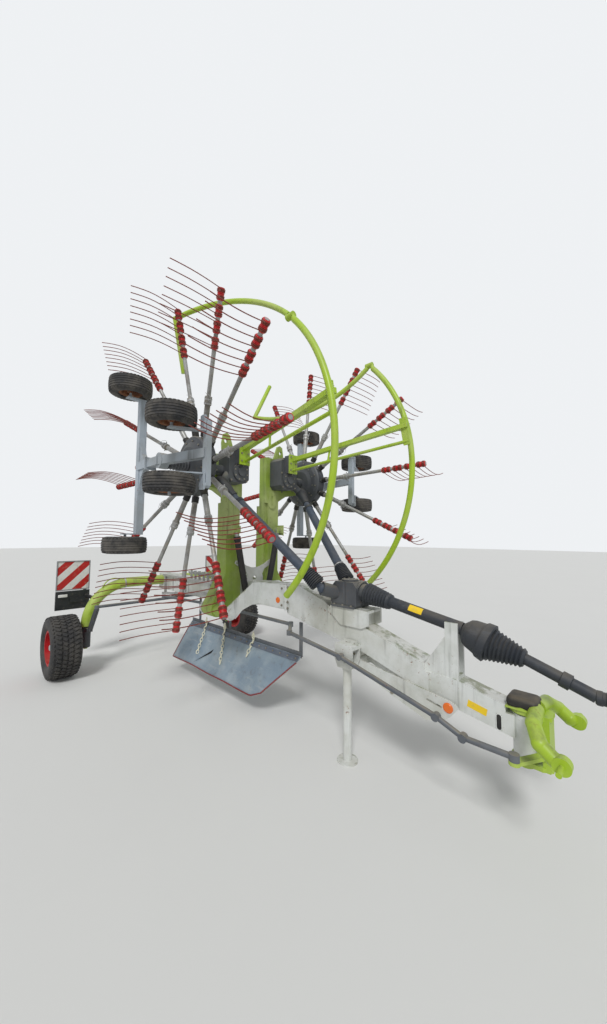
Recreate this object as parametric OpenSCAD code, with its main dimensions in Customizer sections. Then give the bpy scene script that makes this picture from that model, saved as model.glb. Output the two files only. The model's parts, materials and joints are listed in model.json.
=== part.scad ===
// Twin-rotor trailed rotary hay rake, folded for the road and parked on its stand.
// X points forward to the hitch, Y to the left, Z up. Millimetres.
// Lengthwise places are measured from the rear axle and shifted so that the box is centred.

/* [Overall] */
// Rear axle to the lower-link pins
wheelbase = 5150; // [4900:10:5400]
// Rear axle to the back faces of the warning boards
rear_overhang = 520; // [500:5:600]
// Height of the lower-link pins above the ground
pin_h = 660; // [620:5:700]
// Half the spread of the lower-link pins between their shoulders
pin_half = 330; // [300:5:360]
// Diameter of a lower-link pin
link_pin_d = 28; // [22:0.5:28]

/* [Transport wheels] */
// Track between the rear tyre centres
rear_track = 2800; // [2700:10:2900]
// Outside diameter of a rear tyre
tyre_d = 780; // [740:5:800]
// Width of a rear tyre
tyre_w = 340; // [260:5:360]
// Diameter of the rear rim at its edge
rim_d = 440; // [400:5:460]
// Height of the axle tube's middle part
axle_h = 1140; // [1100:5:1160]
// Diameter of the axle tube
axle_d = 140; // [120:2:150]
// Distance of the steering pins from the centre line
king_y = 1120; // [1100:5:1130]

/* [Main beam] */
// Width of the main beam
beam_w = 180; // [160:2:200]
// Height of the underside of the rear beam
beam_low = 1000; // [980:5:1020]
// Depth of the rear beam
beam_deep = 230; // [200:5:240]
// Height of the upright steering pin's middle
nose_h = 620; // [600:5:640]

/* [Fold] */
// Rotor wheels' ground plane from the centre line, folded up
ground_y = 1505; // [1480:5:1550]
// Fold pivot from the centre line
pivot_y = 470; // [450:5:490]
// Diameter of the fold pins
fold_pin_d = 50; // [40:2:60]
// Width of a rotor arm's mast across the machine
arm_wide = 200; // [180:2:210]
// Depth of the mast along the machine
arm_deep = 180; // [160:2:190]
// Mast ahead of the rear axle
arm_x = 2100; // [2090:1:2110]
// Height of the top of a folded rotor arm
arm_top = 2980; // [2900:5:3020]

/* [Rotors] */
// Rotor axis ahead of the rear axle
rotor_x = 2250; // [2200:5:2300]
// Height of the rotor axis, folded up
rotor_h = 2530; // [2480:5:2560]
// Number of tine arms on a rotor
arm_n = 12; // [10:1:13]
// Radius at the outer end of a tine arm
rotor_r = 1605; // [1550:5:1640]
// Radius of the rotor's drum
drum_r = 300; // [260:5:320]
// Diameter of a tine arm's tube
tine_arm_d = 40; // [34:1:44]
// Double tines on a tine arm
tine_n = 4; // [3:1:4]
// Spacing of the double tines along the arm
tine_pitch = 130; // [110:2:135]
// Wire thickness of a tine
wire_d = 10; // [8:0.5:12]
// Gap between the tine tips and the ground plane
tip_gap = 15; // [10:1:40]

/* [Rotor carriage] */
// Diameter of a rotor wheel
rw_d = 410; // [380:5:420]
// Width of a rotor wheel's tyre
rw_w = 165; // [140:5:170]
// Rotor wheels behind the rotor axis
rw_back = 450; // [430:5:470]
// Half spread of the back rotor wheels
rw_half = 800; // [770:5:810]
// Castor pins ahead of the rotor axis
castor_x = 600; // [570:5:620]
// Half spread of the castor pins
castor_half = 285; // [270:5:300]
// Distance of a castor wheel's axle behind its pin
trail = 110; // [100:5:120]

/* [Guard hoops] */
// Radius of a guard hoop
hoop_r = 1650; // [1630:5:1680]
// Diameter of the hoop tube
hoop_d = 56; // [48:1:62]
// Hoop plane from the centre line
hoop_y = 600; // [590:5:640]
// Turn of a folded hoop end
hoop_fold = 165; // [160:1:168]

/* [Curtain] */
// Length of the curtain's top strip
strip_l = 2160; // [2000:10:2200]
// Drop of the curtain's lower edge
curtain_drop = 430; // [380:5:440]
// Sideways set of the curtain's lower edge
curtain_out = 270; // [200:5:280]

/* [Stand and road kit] */
// Diameter of the parking leg
leg_d = 70; // [60:1:76]
// Side of a warning board
board_w = 423; // [400:1:430]
// Height of the lower edge of a warning board
board_low = 1030; // [1020:5:1050]

/* [Hidden] */
$fn = 48;
// Play of a pin in its bore, on the radius
run = 0.05;
// Least room between pieces that move past each other
room = 8;
// Gap between faces that rest or turn on each other
seat = 0.3;
// Length of the lower-link pins beyond their shoulders
pin_l = 85;
x_front = wheelbase + 200;
x_mid = (x_front - rear_overhang) / 2;
pivot_z = ground_y - pivot_y;
tyre_r = tyre_d / 2;
rw_r = rw_d / 2;
rw_y = ground_y - rw_r;
nose_x = wheelbase - 230;
arm_y = pivot_y - 190;
arm_front = arm_x + arm_deep / 2;
head_y = 690;
pto_end = [x_front - 70, 0, 940];
coupler_d = 34.9;
ball_d = 84;
gearbox_x = 3600;
gearbox_z = 1320;
box_low = 1210;
leg_x = 3680;
leg_y = -165;
leg_z = 790;
rod_y = -260;
rod_d = 40;
eye_z = 585;
arm_low = eye_z - rod_d / 2 - seat - 20;
knuckle_top = 600;
lever_x = 310;
lever_l = 200;
lever_z = beam_low - 110;
lever_t = 18;
tie_x = 200;
tie_z = lever_z - seat - rod_d / 2;
steer_z = lever_z + lever_t + seat + rod_d / 2;
tie_end = king_y - 60;

white = [0.86, 0.87, 0.86];
green = [0.66, 0.78, 0.20];
silver = [0.72, 0.72, 0.72];
dark = [0.22, 0.23, 0.25];
grey = [0.55, 0.56, 0.56];
red = [0.72, 0.12, 0.12];
black = [0.08, 0.08, 0.08];

// Shared shapes

module at_axle() {
    translate([-x_mid, 0, 0]) children();
}

// Left pieces are drawn and right ones are their mirror image.
module on_side(side) {
    at_axle() mirror([0, side < 0 ? 1 : 0, 0]) children();
}

// Round bar between two points
module rod_between(a, b, d) {
    v = b - a;
    l = norm(v);
    translate(a) rotate([0, acos(v.z / l), atan2(v.y, v.x)]) cylinder(d = d, h = l);
}

// Square bar between two points, w across and t deep
module bar_between(a, b, w, t) {
    v = b - a;
    l = norm(v);
    translate(a) rotate([0, acos(v.z / l), atan2(v.y, v.x)])
        translate([-t / 2, -w / 2, 0]) cube([t, w, l]);
}

// Upright plate in the XZ plane, centred on y, from an outline of [x, z] points
module side_plate(points, y, t) {
    translate([0, y + t / 2, 0]) rotate([90, 0, 0]) linear_extrude(t) polygon(points);
}

module along_y(p, d, l) {
    translate([p.x, p.y - l / 2, p.z]) rotate([-90, 0, 0]) cylinder(d = d, h = l);
}

module along_x(p, d, l) {
    translate([p.x - l / 2, p.y, p.z]) rotate([0, 90, 0]) cylinder(d = d, h = l);
}

module box_at(p, s) {
    translate(p - s / 2) cube(s);
}

// Main beam

beam_outline = [
    [-105, beam_low + beam_deep], [1650, beam_low + beam_deep], [2000, 1305], [2400, 1320],
    [3044, 1340], [3183, 1288], [3356, 1235], [3545, 1125], [3812, 1070], [4297, 914], [4320, 850],
    [4516, 850], [nose_x - 88, nose_h + 160], [nose_x - 88, nose_h + 112],
    [nose_x - 40, nose_h + 112], [nose_x - 40, nose_h - 22], [4344, 689], [4232, 689],
    [4226, 735], [3730, 886], [3517, 922], [3185, 983], [3031, 1016], [2884, 1040], [2858, 1080],
    [2465, 1081], [2303, 1056], [1900, 1056], [1760, beam_low], [-105, beam_low]];
plate_x = [1950, 2430];
cheek_outline = [
    [plate_x[0] + 10, 1070], [2303, 1062], [2465, 1087], [2858, 1087], [2858, 1330], [2400, 1315],
    [plate_x[0] + 10, 1290]];
// Half of a cross plate in the YZ plane, from the middle out to the fold pin
leg_outline = [
    [0, 1092], [200, 1092], [330, 1050], [pivot_y - 55, pivot_z - 62], [pivot_y + 60, pivot_z + 50],
    [190, 1318], [0, 1318]];
plate_t = 20;
horn_x = arm_front + 25;
horn_t = 16;
horn_half = [
    [0, 1300], [118, 1300], [122, 1345], [108, 1385], [138, 1440], [248, 1498], [276, 1522],
    [262, 1552], [232, 1548], [120, 1490], [50, 1466], [0, 1462]];

// Plate in the YZ plane from half an outline of [y, z] points, and its mirror image
module cross_plate(points, x, t) {
    for (s = [0, 1]) mirror([0, s, 0]) translate([x - t / 2, 0, 0])
        rotate([90, 0, 90]) linear_extrude(t) polygon(points);
}

module main_beam() {
    color(white) at_axle() {
        difference() {
            side_plate(beam_outline, 0, beam_w);
            along_y([0, 0, axle_h], axle_d + 2 * seat, 2 * beam_w);
            // Slim nose
            for (s = [-1, 1]) translate([4345, s > 0 ? 70 : -beam_w, 500]) cube([600, beam_w - 70, 400]);
        }
        // Cross plates that carry the fold pins
        for (x = plate_x) {
            cross_plate(leg_outline, x, plate_t);
            for (s = [-1, 1]) along_x([x, s * pivot_y, pivot_z], 140, plate_t);
        }
        for (s = [-1, 1]) {
            along_x([(plate_x[0] + plate_x[1]) / 2, s * pivot_y, pivot_z], fold_pin_d,
                plate_x[1] - plate_x[0] + 70);
            along_x([plate_x[1] + 18, s * pivot_y, pivot_z], 96, 20);
            side_plate(cheek_outline, s * (beam_w / 2 + 6), 12);
        }
        // Bolted flange of the front beam
        translate([2868, -beam_w / 2 - 40, 1083]) cube([30, beam_w + 80, 252]);
        // Horned transport rest across the arch
        difference() {
            cross_plate(horn_half, horn_x, horn_t);
            along_x([horn_x, 0, 1340], 56, 2 * horn_t);
            for (s = [-1, 1]) along_x([horn_x, s * 250, 1525], 22, 2 * horn_t);
        }
        // Pedestal under the gearbox
        for (s = [-1, 1]) side_plate([[3445, 1150], [3560, 1060], [3778, 1060], [3845, 1090],
            [3845, box_low - 12], [3445, box_low - 12]], s * 96, 20);
        translate([3445, -106, box_low - 20]) cube([400, 212, 20]);
        translate([3770, -96, 1060]) cube([14, 192, box_low - 1066]);
        // Cheeks under the front beam and their bolted straps
        for (s = [-1, 1]) {
            difference() {
                side_plate([[3703, 749], [3729, 811], [4334, 730], [4535, 700], [4555, 669], [4499, 601],
                    [4428, 542], [4330, 525], [4060, 611]], s * (beam_w / 2 + 6), 12);
                along_y([4395, s * beam_w / 2, 560], 18, 60);
                side_plate([[4330, 664], [4440, 640], [4446, 654], [4336, 678]], s * beam_w / 2, 60);
            }
            side_plate([[3605, 952], [3605, 760], [3640, 700], [3739, 730], [3750, 800], [3739, 952]],
                s * (beam_w / 2 + 18), 12);
            along_y([3700, s * (beam_w / 2 + 12), 905], 30, 36);
        }
        along_y([4395, 0, 620], 36, beam_w + 24);
        along_y([3700, 0, 780], 36, beam_w + 24);
        // Front post with its fork for the drive shaft, and its stay
        difference() {
            union() {
                translate([4456, -60, 840]) cube([90, 120, 385]);
                for (s = [-1, 1]) side_plate([[4458, 1127], [4302, 900], [4302, 840], [4458, 840]], s * 48, 10);
            }
            translate([4470, -44, 870]) cube([90, 88, 400]);
            rod_between(shaft_at(4400), shaft_at(4620), shaft_d + 2 * seat);
        }
        // Nose tube for the steering pin
        difference() {
            translate([nose_x, 0, nose_h - 120]) cylinder(d = 130, h = 240);
            translate([nose_x, 0, nose_h - 130]) cylinder(d = 60 + 2 * run, h = 260);
        }
        // Stand bracket
        for (s = [-1, 1]) side_plate([[leg_x - 60, leg_z - 45], [leg_x + 60, leg_z - 45],
            [leg_x + 90, leg_z + 20], [leg_x + 90, leg_z + 150], [leg_x - 90, leg_z + 150],
            [leg_x - 90, leg_z + 20]], leg_y + s * (leg_d / 2 + 15), 10);
        translate([leg_x - 90, leg_y - leg_d / 2 - 15, leg_z + 110])
            cube([180, -leg_y + leg_d / 2, 30]);
        along_y([leg_x, leg_y, leg_z], 30, leg_d + 60);
        // Cylinder lugs
        for (s = [-1, 1]) {
            for (x = [fold_x - 40, fold_x + 20])
                translate([x, s > 0 ? beam_w / 2 : -beam_w / 2 - 85, cyl_root.z - 35]) cube([20, 85, 70]);
            along_x([fold_x, s * cyl_root.y, cyl_root.z], 24, 80);
        }
        // Pin of the steering lever
        translate([lever_x, 0, lever_z - 30]) cylinder(d = 40, h = beam_low - lever_z + 40);
        translate([lever_x, 0, lever_z - 30]) cylinder(d = 60, h = 30 - seat);
    }
}

// Drive line

// Body of revolution from a to b with an outline of [radius, distance from a] points
module turned(a, b, outline) {
    v = b - a;
    translate(a) rotate([0, acos(v.z / norm(v)), atan2(v.y, v.x)]) rotate_extrude() polygon(outline);
}

// Zigzag outline of a bellows from radius r0 at z0 to r1 at z1
function bellows(z0, z1, r0, r1, n, deep) = [for (i = [0 : 2 * n])
    [r0 + (r1 - r0) * i / (2 * n) - (i % 2) * deep, z0 + (z1 - z0) * i / (2 * n)]];

module centre_gearbox() {
    color(dark) at_axle() {
        difference() {
            side_plate([[gearbox_x - 150, box_low + 40], [gearbox_x - 110, box_low], [gearbox_x + 110, box_low],
                [gearbox_x + 125, box_low + 25], [gearbox_x + 125, box_low + 175], [gearbox_x + 90, box_low + 220],
                [gearbox_x - 100, box_low + 220], [gearbox_x - 150, box_low + 165]], 0, 200);
            for (s = [-1, 1]) translate([gearbox_x, s * 100, 0]) rotate([0, 0, 45]) cube([20, 20, 4000], center = true);
        }
        translate([gearbox_x - 10, 0, box_low + 215]) cylinder(d = 150, h = 20);
        translate([gearbox_x - 130, -120, box_low]) cube([240, 240, 18]);
        // Input neck
        turned(shaft_a - 62 * shaft_ab, shaft_a - seat * shaft_ab,
            [[0, 0], [88, 0], [88, 18], [70, 18], [70, 62 - seat], [0, 62 - seat]]);
        // Side outputs, each with a cup for the drive shaft's ball
        for (s = [-1, 1]) mirror([0, s < 0 ? 1 : 0, 0]) difference() {
            rod_between([gearbox_x - 100, 60, gearbox_z], drive_root, 120);
            translate(drive_root) sphere(d = ball_d + 2 * seat);
        }
    }
}

shaft_d = 90;
shaft_a = [3770, 0, 1340];
shaft_b = [4562, 0, 1183];
shaft_c = [4730, 0, 1118];
shaft_e = [4935, 0, 1068];
shaft_ab = (shaft_b - shaft_a) / norm(shaft_b - shaft_a);
function shaft_at(x) = shaft_a + shaft_ab * (x - shaft_a.x) / shaft_ab.x;
module pto_shaft() {
    color(dark) at_axle() {
        l1 = norm(shaft_b - shaft_a);
        turned(shaft_a, shaft_b, concat([[0, 0], [86, 0]], bellows(12, 210, 92, 66, 8, 12),
            [[60, 222], [60, 232], [shaft_d / 2, 240], [shaft_d / 2, l1], [0, l1]]));
        // Bell and its bellows
        l2 = norm(shaft_c - shaft_b);
        turned(shaft_b, shaft_c, [[0, -4], [44, 0], [88, 34], [100, 60], [112, l2 - 60], [124, l2 - 46],
            [130, l2], [118, l2 + 6], [0, l2 + 6]]);
        l3 = norm(shaft_e - shaft_c);
        turned(shaft_c, shaft_e, concat([[0, 0], [108, 0]], bellows(8, 196, 112, 62, 8, 13), [[50, l3], [0, l3]]));
        turned(shaft_e - [20, 0, -7], pto_end, [[0, 0], [35, 0], [35, 210], [46, 214], [46, 262], [35, 266],
            [35, norm(pto_end - shaft_e) + 15], [0, norm(pto_end - shaft_e) + 15]]);
        difference() {
            turned([x_front - 80, 0, pto_end.z], [x_front, 0, pto_end.z],
                [[0, 0], [34, 0], [40, 8], [40, 30], [36, 34], [36, 46], [40, 50], [40, 80], [0, 80]]);
            along_x([x_front, 0, pto_end.z], coupler_d, 120);
        }
    }
}

// Rear axle and its wheels

bend_r = 520;
module rear_axle() {
    color(green) at_axle() {
        for (s = [-1, 1]) mirror([0, s < 0 ? 1 : 0, 0]) {
            along_y([0, (king_y - bend_r) / 2, axle_h], axle_d, king_y - bend_r);
            translate([0, king_y - bend_r, axle_h - bend_r]) rotate([90, 0, 90])
                rotate_extrude(angle = 90, $fn = 96) translate([bend_r, 0]) circle(d = axle_d);
            translate([0, king_y, knuckle_top + seat]) cylinder(d = axle_d, h = axle_h - bend_r - knuckle_top);
            // Steering pin
            translate([0, king_y, 300]) cylinder(d = 50, h = knuckle_top + 20 - 300);
        }
    }
}

module knuckle(side) {
    arm_z = tie_z - rod_d / 2 - seat - 20;
    color(dark) on_side(side) {
        difference() {
            union() {
                translate([0, king_y, 320]) cylinder(d = 110, h = knuckle_top - 320);
                // Stub axle
                along_y([0, (king_y + rear_track / 2 + 40) / 2, tyre_r], 60, rear_track / 2 + 40 - king_y);
                // Steering arm
                bar_between([0, king_y, 560], [120, king_y - 10, 560], 70, 50);
            }
            translate([0, king_y, 310]) cylinder(d = 50 + 2 * run, h = knuckle_top);
        }
        bar_between([110, king_y - 10, 545], [tie_x, tie_end, arm_z + 10], 50, 40);
        translate([tie_x, tie_end, arm_z]) cylinder(d = 56, h = 20);
    }
}

module rear_tyre(side) {
    r = tyre_r;
    w = tyre_w / 2;
    b = rim_d / 2;
    color(black) on_side(side) translate([0, rear_track / 2, r]) rotate([-90, 0, 0])
        rotate_extrude($fn = 120) polygon([
            [b, -w + 30], [b + 25, -w + 8], [(r + b) / 2, -w], [r - 40, -w + 8], [r - 8, -w + 38],
            [r, -w + 90], [r, w - 90], [r - 8, w - 38], [r - 40, w - 8], [(r + b) / 2, w],
            [b + 25, w - 8], [b, w - 30]]);
}

module rear_rim(side) {
    b = rim_d / 2 - seat;
    w = tyre_w / 2;
    color(red) on_side(side) translate([0, rear_track / 2, tyre_r]) rotate([-90, 0, 0])
        difference() {
            rotate_extrude($fn = 96) polygon([
                [30 + run, -40], [70, -40], [70, 30], [b - 25, 30], [b - 25, -w + 30], [b, -w + 30],
                [b, w - 30], [b - 25, w - 30], [b - 25, 42], [80, 42], [70, 80], [30 + run, 80]]);
            for (i = [0 : 5]) rotate(i * 60) translate([0.62 * b, 0, 0]) cylinder(d = 30, h = 200, center = true);
        }
}

module track_rod() {
    color(grey) at_axle() {
        along_y([tie_x, 0, tie_z], rod_d, 2 * tie_end);
        for (y = [-tie_end, 0, tie_end])
            translate([tie_x, y, tie_z - rod_d / 2]) cylinder(d = 56, h = rod_d);
    }
}

module steer_lever() {
    color(dark) at_axle() translate([0, 0, lever_z]) linear_extrude(lever_t) difference() {
        union() {
            translate([lever_x, 0]) circle(d = 90);
            translate([lever_x - 25, -lever_l]) square([50, lever_l]);
            translate([lever_x, -lever_l]) circle(d = 56);
            translate([tie_x, -25]) square([lever_x - tie_x, 50]);
            translate([tie_x, 0]) circle(d = 56);
        }
        translate([lever_x, 0]) circle(d = 40 + 2 * run);
    }
}

module steering_rod() {
    color(dark) at_axle() {
        pts = [[lever_x, -lever_l, steer_z], [1500, -30, steer_z], [2860, -30, steer_z],
            [3080, rod_y, steer_z], [3678, rod_y, 848], [4470, rod_y, 652], [4640, rod_y, eye_z],
            [nose_x, rod_y, eye_z]];
        last = len(pts) - 2;
        for (i = [0 : last]) {
            u = (pts[i + 1] - pts[i]) / norm(pts[i + 1] - pts[i]);
            rod_between(pts[i] + (i > 0 ? 6 : 0) * u, pts[i + 1] - (i < last ? 6 : 0) * u, rod_d - 4);
        }
        // Welded bosses at the bends
        for (i = [1 : last]) translate(pts[i]) rotate([i > 3 ? 90 : 0, 0, 0])
            cylinder(d = rod_d + 12, h = rod_d + 6, center = true);
        for (p = [pts[0], pts[len(pts) - 1]]) translate([p.x, p.y, p.z - rod_d / 2]) cylinder(d = 56, h = rod_d);
    }
}

// Hitch

yoke_d = 80;
module headstock() {
    color(green) at_axle() {
        for (z = [nose_h - 155, nose_h + 130]) translate([nose_x, 0, z]) {
            cylinder(d = 150, h = 25);
            linear_extrude(25) polygon([[0, -75], [100, -80], [150, -50], [150, 50], [100, 80], [0, 75]]);
        }
        translate([nose_x + 100, -70, nose_h - 155]) cube([40, 140, 310]);
        translate([nose_x, 0, nose_h - 170]) cylinder(d = 60, h = 340);
        // Round cap over the pin
        translate([nose_x, 0, nose_h + 150]) rotate_extrude() polygon([
            [0, 0], [72, 0], [78, 10], [78, 44], [66, 58], [30, 66], [0, 66]]);
        translate([nose_x, 0, nose_h - 185]) cylinder(d = 96, h = 40);
        // Arm for the steering rod
        bar_between([nose_x + 120, -50, arm_low + 10], [nose_x, rod_y, arm_low + 10], 46, 20);
        translate([nose_x, rod_y, arm_low]) cylinder(d = 60, h = 20);
        // Bent yoke tubes down to the link pins
        for (s = [-1, 1]) {
            pts = [[nose_x + 70, s * 20, pin_h + 130], [nose_x + 85, s * 190, pin_h + 112],
                [nose_x + 130, s * 284, pin_h + 58], [wheelbase - 40, s * (pin_half - 42), pin_h + 8]];
            for (i = [0 : 2]) rod_between(pts[i], pts[i + 1], yoke_d);
            for (i = [1 : 3]) translate(pts[i]) sphere(d = yoke_d + 3);
            side_plate([[nose_x + 150, pin_h + 46], [wheelbase - 20, pin_h + 40], [wheelbase + 20, pin_h + 20],
                [wheelbase + 20, pin_h - 20], [wheelbase - 20, pin_h - 40], [nose_x + 160, pin_h - 20]],
                s * (pin_half - 40), 24);
            along_y([wheelbase, s * (pin_half + pin_l / 2 - 20), pin_h], link_pin_d, pin_l + 40);
            along_y([wheelbase, s * (pin_half - 26), pin_h], 88, 52);
        }
    }
}

// Parking leg

module stand_leg() {
    color(white) at_axle() {
        difference() {
            union() {
                translate([leg_x, leg_y, 12]) cylinder(d = leg_d, h = leg_z - 12 - 30);
                along_y([leg_x, leg_y, leg_z], 64, leg_d - 4);
                box_at([leg_x, leg_y, leg_z - 40], [50, leg_d - 6, 60]);
            }
            along_y([leg_x, leg_y, leg_z], 30 + 2 * run, leg_d + 20);
        }
        translate([leg_x, leg_y, 0]) cylinder(d = 170, h = 12);
    }
}

// Swath curtain

strip_x = 830;
strip_z = 640;
module curtain_strip() {
    color(dark) at_axle() {
        translate([strip_x, -4, strip_z - 30]) cube([strip_l, 8, 60]);
        for (p = [[strip_x + 180, beam_low], [strip_x + 900, beam_low], [strip_x + strip_l - 20, 958]])
            translate([p[0] - 20, 4, strip_z - 20]) cube([40, 12, p[1] - seat - strip_z + 20]);
    }
}

module curtain() {
    t = 6;
    tilt = atan2(curtain_out, curtain_drop);
    slope = norm([curtain_out, curtain_drop]);
    color([0.6, 0.65, 0.7]) at_axle() translate([strip_x, -4 - seat - t * cos(tilt), strip_z - 10])
        rotate([-tilt, 0, 0]) translate([0, 0, -slope]) rotate([90, 0, 0]) translate([0, 0, -t])
            linear_extrude(t) polygon([[0, 0], [strip_l - 460, 0], [strip_l - 330, 60],
                [strip_l, slope - 40], [strip_l, slope], [0, slope]]);
}

module stow_rack() {
    y = -beam_w / 2;
    top = beam_low + beam_deep;
    color(grey) at_axle() {
        translate([94, y - 36, top - 24]) cube([1396, 36, 30]);
        bar_between([80, y - 22, beam_low - 60], [1465, y - 22, beam_low + 80], 30, 30);
        for (x = [140, 760, 1420]) translate([x, y - 30, beam_low - 50 + x / 10]) cube([30, 30, top - beam_low + 40 - x / 10]);
        // Hooks that hold spare tine arms
        for (i = [0 : 5]) translate([950 + i * 108, 0, 0]) {
            translate([0, y - 36, top]) cube([12, 30, 120]);
            translate([12, y - 21, top + 110]) rotate([0, -90, 0]) difference() {
                cylinder(d = 92, h = 12);
                translate([0, 0, -1]) cylinder(d = 62, h = 14);
                translate([0, -60, -1]) cube([60, 120, 14]);
            }
        }
    }
}

module warning_boards() {
    bx = -rear_overhang;
    by = 970;
    rim = 12;
    for (s = [-1, 1]) color(red) at_axle() mirror([0, s < 0 ? 1 : 0, 0]) {
        translate([bx, by, board_low]) cube([6, board_w, board_w]);
        // Raised rim round the board
        difference() {
            translate([bx, by, board_low]) cube([16, board_w, board_w]);
            translate([bx - 1, by + rim, board_low + rim]) cube([30, board_w - 2 * rim, board_w - 2 * rim]);
        }
        // Lamp panel
        translate([bx, by, board_low - 270]) cube([30, board_w, 262]);
        along_x([bx + 40, by + board_w - 70, board_low - 70], 76, 30);
        translate([bx + 26, by + 60, board_low - 170]) cube([22, 190, 70]);
        translate([bx + 6, by + 40, board_low - 20]) cube([10, 40, 200]);
        rod_between([bx + 25, 1010, 940], [-axle_d / 2 - seat, 1010, 940], 50);
    }
}

// Rotor arm and what it carries, drawn on the left

fold_x = arm_front + 78;
cyl_root = [fold_x, 150, 1150];
cyl_eye = [fold_x, pivot_y - 160, 1900];
drive_root = [3430, 200, 1365];
drive_eye = [2395, 585, 2362];

module rotor_arm(side) {
    back = arm_x - arm_deep / 2;
    low = arm_y - arm_wide / 2;
    out = arm_y + arm_wide / 2;
    color(green) on_side(side) {
        difference() {
            union() {
                difference() {
                    translate([back, low, pivot_z + 340]) cube([arm_deep, arm_wide, arm_top - 180 - pivot_z - 340]);
                    // Shallower upper part and the step at the inner front edge
                    translate([back - 10, low - 10, 2200]) cube([60, arm_wide + 20, 1000]);
                    translate([arm_front - 35, low - 10, pivot_z + 430]) cube([50, 50, 770]);
                }
                // Foot between the cross plates
                translate([back, 0, 0]) rotate([90, 0, 90]) linear_extrude(arm_deep) {
                    polygon([[low, pivot_z + 365], [low, pivot_z + 115], [pivot_y - 75, pivot_z - 48],
                        [pivot_y, pivot_z - 60], [pivot_y + 74, pivot_z + 10], [pivot_y + 70, pivot_z + 65],
                        [out, pivot_z + 365]]);
                    translate([pivot_y, pivot_z]) circle(d = 150);
                }
                along_x([(plate_x[0] + plate_x[1]) / 2, pivot_y, pivot_z], 130,
                    plate_x[1] - plate_x[0] - plate_t - 2 * room);
            }
            along_x([(plate_x[0] + plate_x[1]) / 2, pivot_y, pivot_z], fold_pin_d + 2 * run, 800);
        }
        // Head towards the rotor hub
        translate([back + 50, 0, 0]) rotate([90, 0, 90]) linear_extrude(arm_deep - 50) polygon([
            [out - 20, 2250], [out, 2260], [500, 2330], [head_y, 2370], [head_y, rotor_h + 170],
            [out, rotor_h + 210], [out - 20, rotor_h + 210]]);
        // Top lug
        difference() {
            translate([arm_front - 26, 0, 0]) rotate([90, 0, 90]) linear_extrude(26) polygon([
                [out - 90, 2700], [out + 70, 2700], [out + 78, arm_top - 120], [out + 60, arm_top - 20],
                [out + 20, arm_top], [out - 20, arm_top - 20], [out - 80, arm_top - 190]]);
            along_x([arm_front, out + 30, arm_top - 95], 45, 80);
        }
        // Slotted tongue on the front face
        difference() {
            union() {
                translate([arm_front - 1, low + 30, 2225]) cube([14, 120, 165]);
                along_x([arm_front + 6, low + 90, 2225], 119, 14);
            }
            translate([arm_front - 1.1, low + 74, 2205]) cube([30, 32, 120]);
        }
        // Lugs for the cylinder, their web and their pin heads
        for (s = [-1, 1]) {
            translate([fold_x + s * 30 - 6, cyl_eye.y - 40, cyl_eye.z - 36]) cube([12, 100, 72]);
            along_x(cyl_eye + [s * 42, 0, 0], 40, 12.2);
        }
        translate([arm_front - 1, cyl_eye.y + 50, cyl_eye.z - 60]) cube([fold_x + 37 - arm_front, 14, 120]);
    }
}

module rotor_gearbox(side) {
    x0 = arm_front + seat;
    l = 205;
    color(dark) on_side(side) {
        translate([x0, 0, 0]) rotate([90, 0, 90]) linear_extrude(l) polygon([
            [240, rotor_h - 90], [280, rotor_h - 130], [460, rotor_h - 130], [500, rotor_h - 90],
            [500, rotor_h + 210], [460, rotor_h + 250], [280, rotor_h + 250], [240, rotor_h + 210]]);
        along_x([x0 + l + 12, 360, rotor_h - 20], 190, 26);
        along_x([x0 + l + 20, 360, rotor_h - 20], 90, 50);
        // Stepped neck and fixed spindle through the drum
        translate([rotor_x, 0, rotor_h]) rotate([-90, 0, 0]) rotate_extrude() polygon(concat(
            [[0, 480], [58, 480], [58, 520], [54, 530], [54, 640], [58, 650], [58, 700 - seat], [45, 700 - seat], [45, 906]],
            bellows(912, 1092, 74, 70, 6, 13), [[45, 1098], [45, 1110], [0, 1110]]));
        // Neck of the drive shaft
        rod_between([2325, 460, rotor_h - 40], drive_eye, 90);
        // Bracket for the hoop stays
        translate([x0 + l - 5, 300, rotor_h + 60]) cube([75, 120, 210]);
    }
}

module drum(side) {
    color(dark) on_side(side) translate([rotor_x, 0, rotor_h]) rotate([-90, 0, 0]) {
        rotate_extrude($fn = 96) polygon([
            [45 + run, 700], [150, 700], [190, 716], [250, 722], [drum_r - 14, 740], [drum_r, 752],
            [drum_r, 850], [drum_r - 14, 862], [235, 870], [180, 900], [45 + run, 900]]);
    }
}

function arm_at(r) = 800 + (r - drum_r) * tan(9);

module one_tine_arm() {
    rod_between([drum_r + 5.2, 0, 800], [drum_r + 340, 0, arm_at(drum_r + 340)], 54);
    rod_between([drum_r + 320, 0, arm_at(drum_r + 320)], [drum_r + 400, 0, arm_at(drum_r + 400)], 68);
    rod_between([drum_r + 330, 0, arm_at(drum_r + 330)], [rotor_r, 0, arm_at(rotor_r)], tine_arm_d);
}

module tine_arms(side) {
    color(silver) on_side(side) translate([rotor_x, 0, rotor_h]) rotate([-90, 0, 0])
        for (i = [0 : arm_n - 1]) rotate(i * 360 / arm_n - 3) one_tine_arm();
}

module double_tine(r) {
    y = arm_at(r);
    tip = ground_y - tip_gap;
    for (s = [-1, 1]) {
        path = [[r + s * 32, 26, y], [r + s * 34, 62, y + 125], [r + s * 34, 78, y + 300],
            [r + s * 34, 40, tip - 5]];
        for (i = [0 : 2]) rod_between(path[i], path[i + 1], wire_d, $fn = 6);
    }
    translate([r, 0, y]) rotate([0, 90 - 9, 0]) translate([0, 0, -45]) difference() {
        cylinder(d = tine_arm_d + 26, h = 90, $fn = 12);
        translate([0, 0, -1]) cylinder(d = tine_arm_d + 0.6, h = 92);
    }
}

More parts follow.
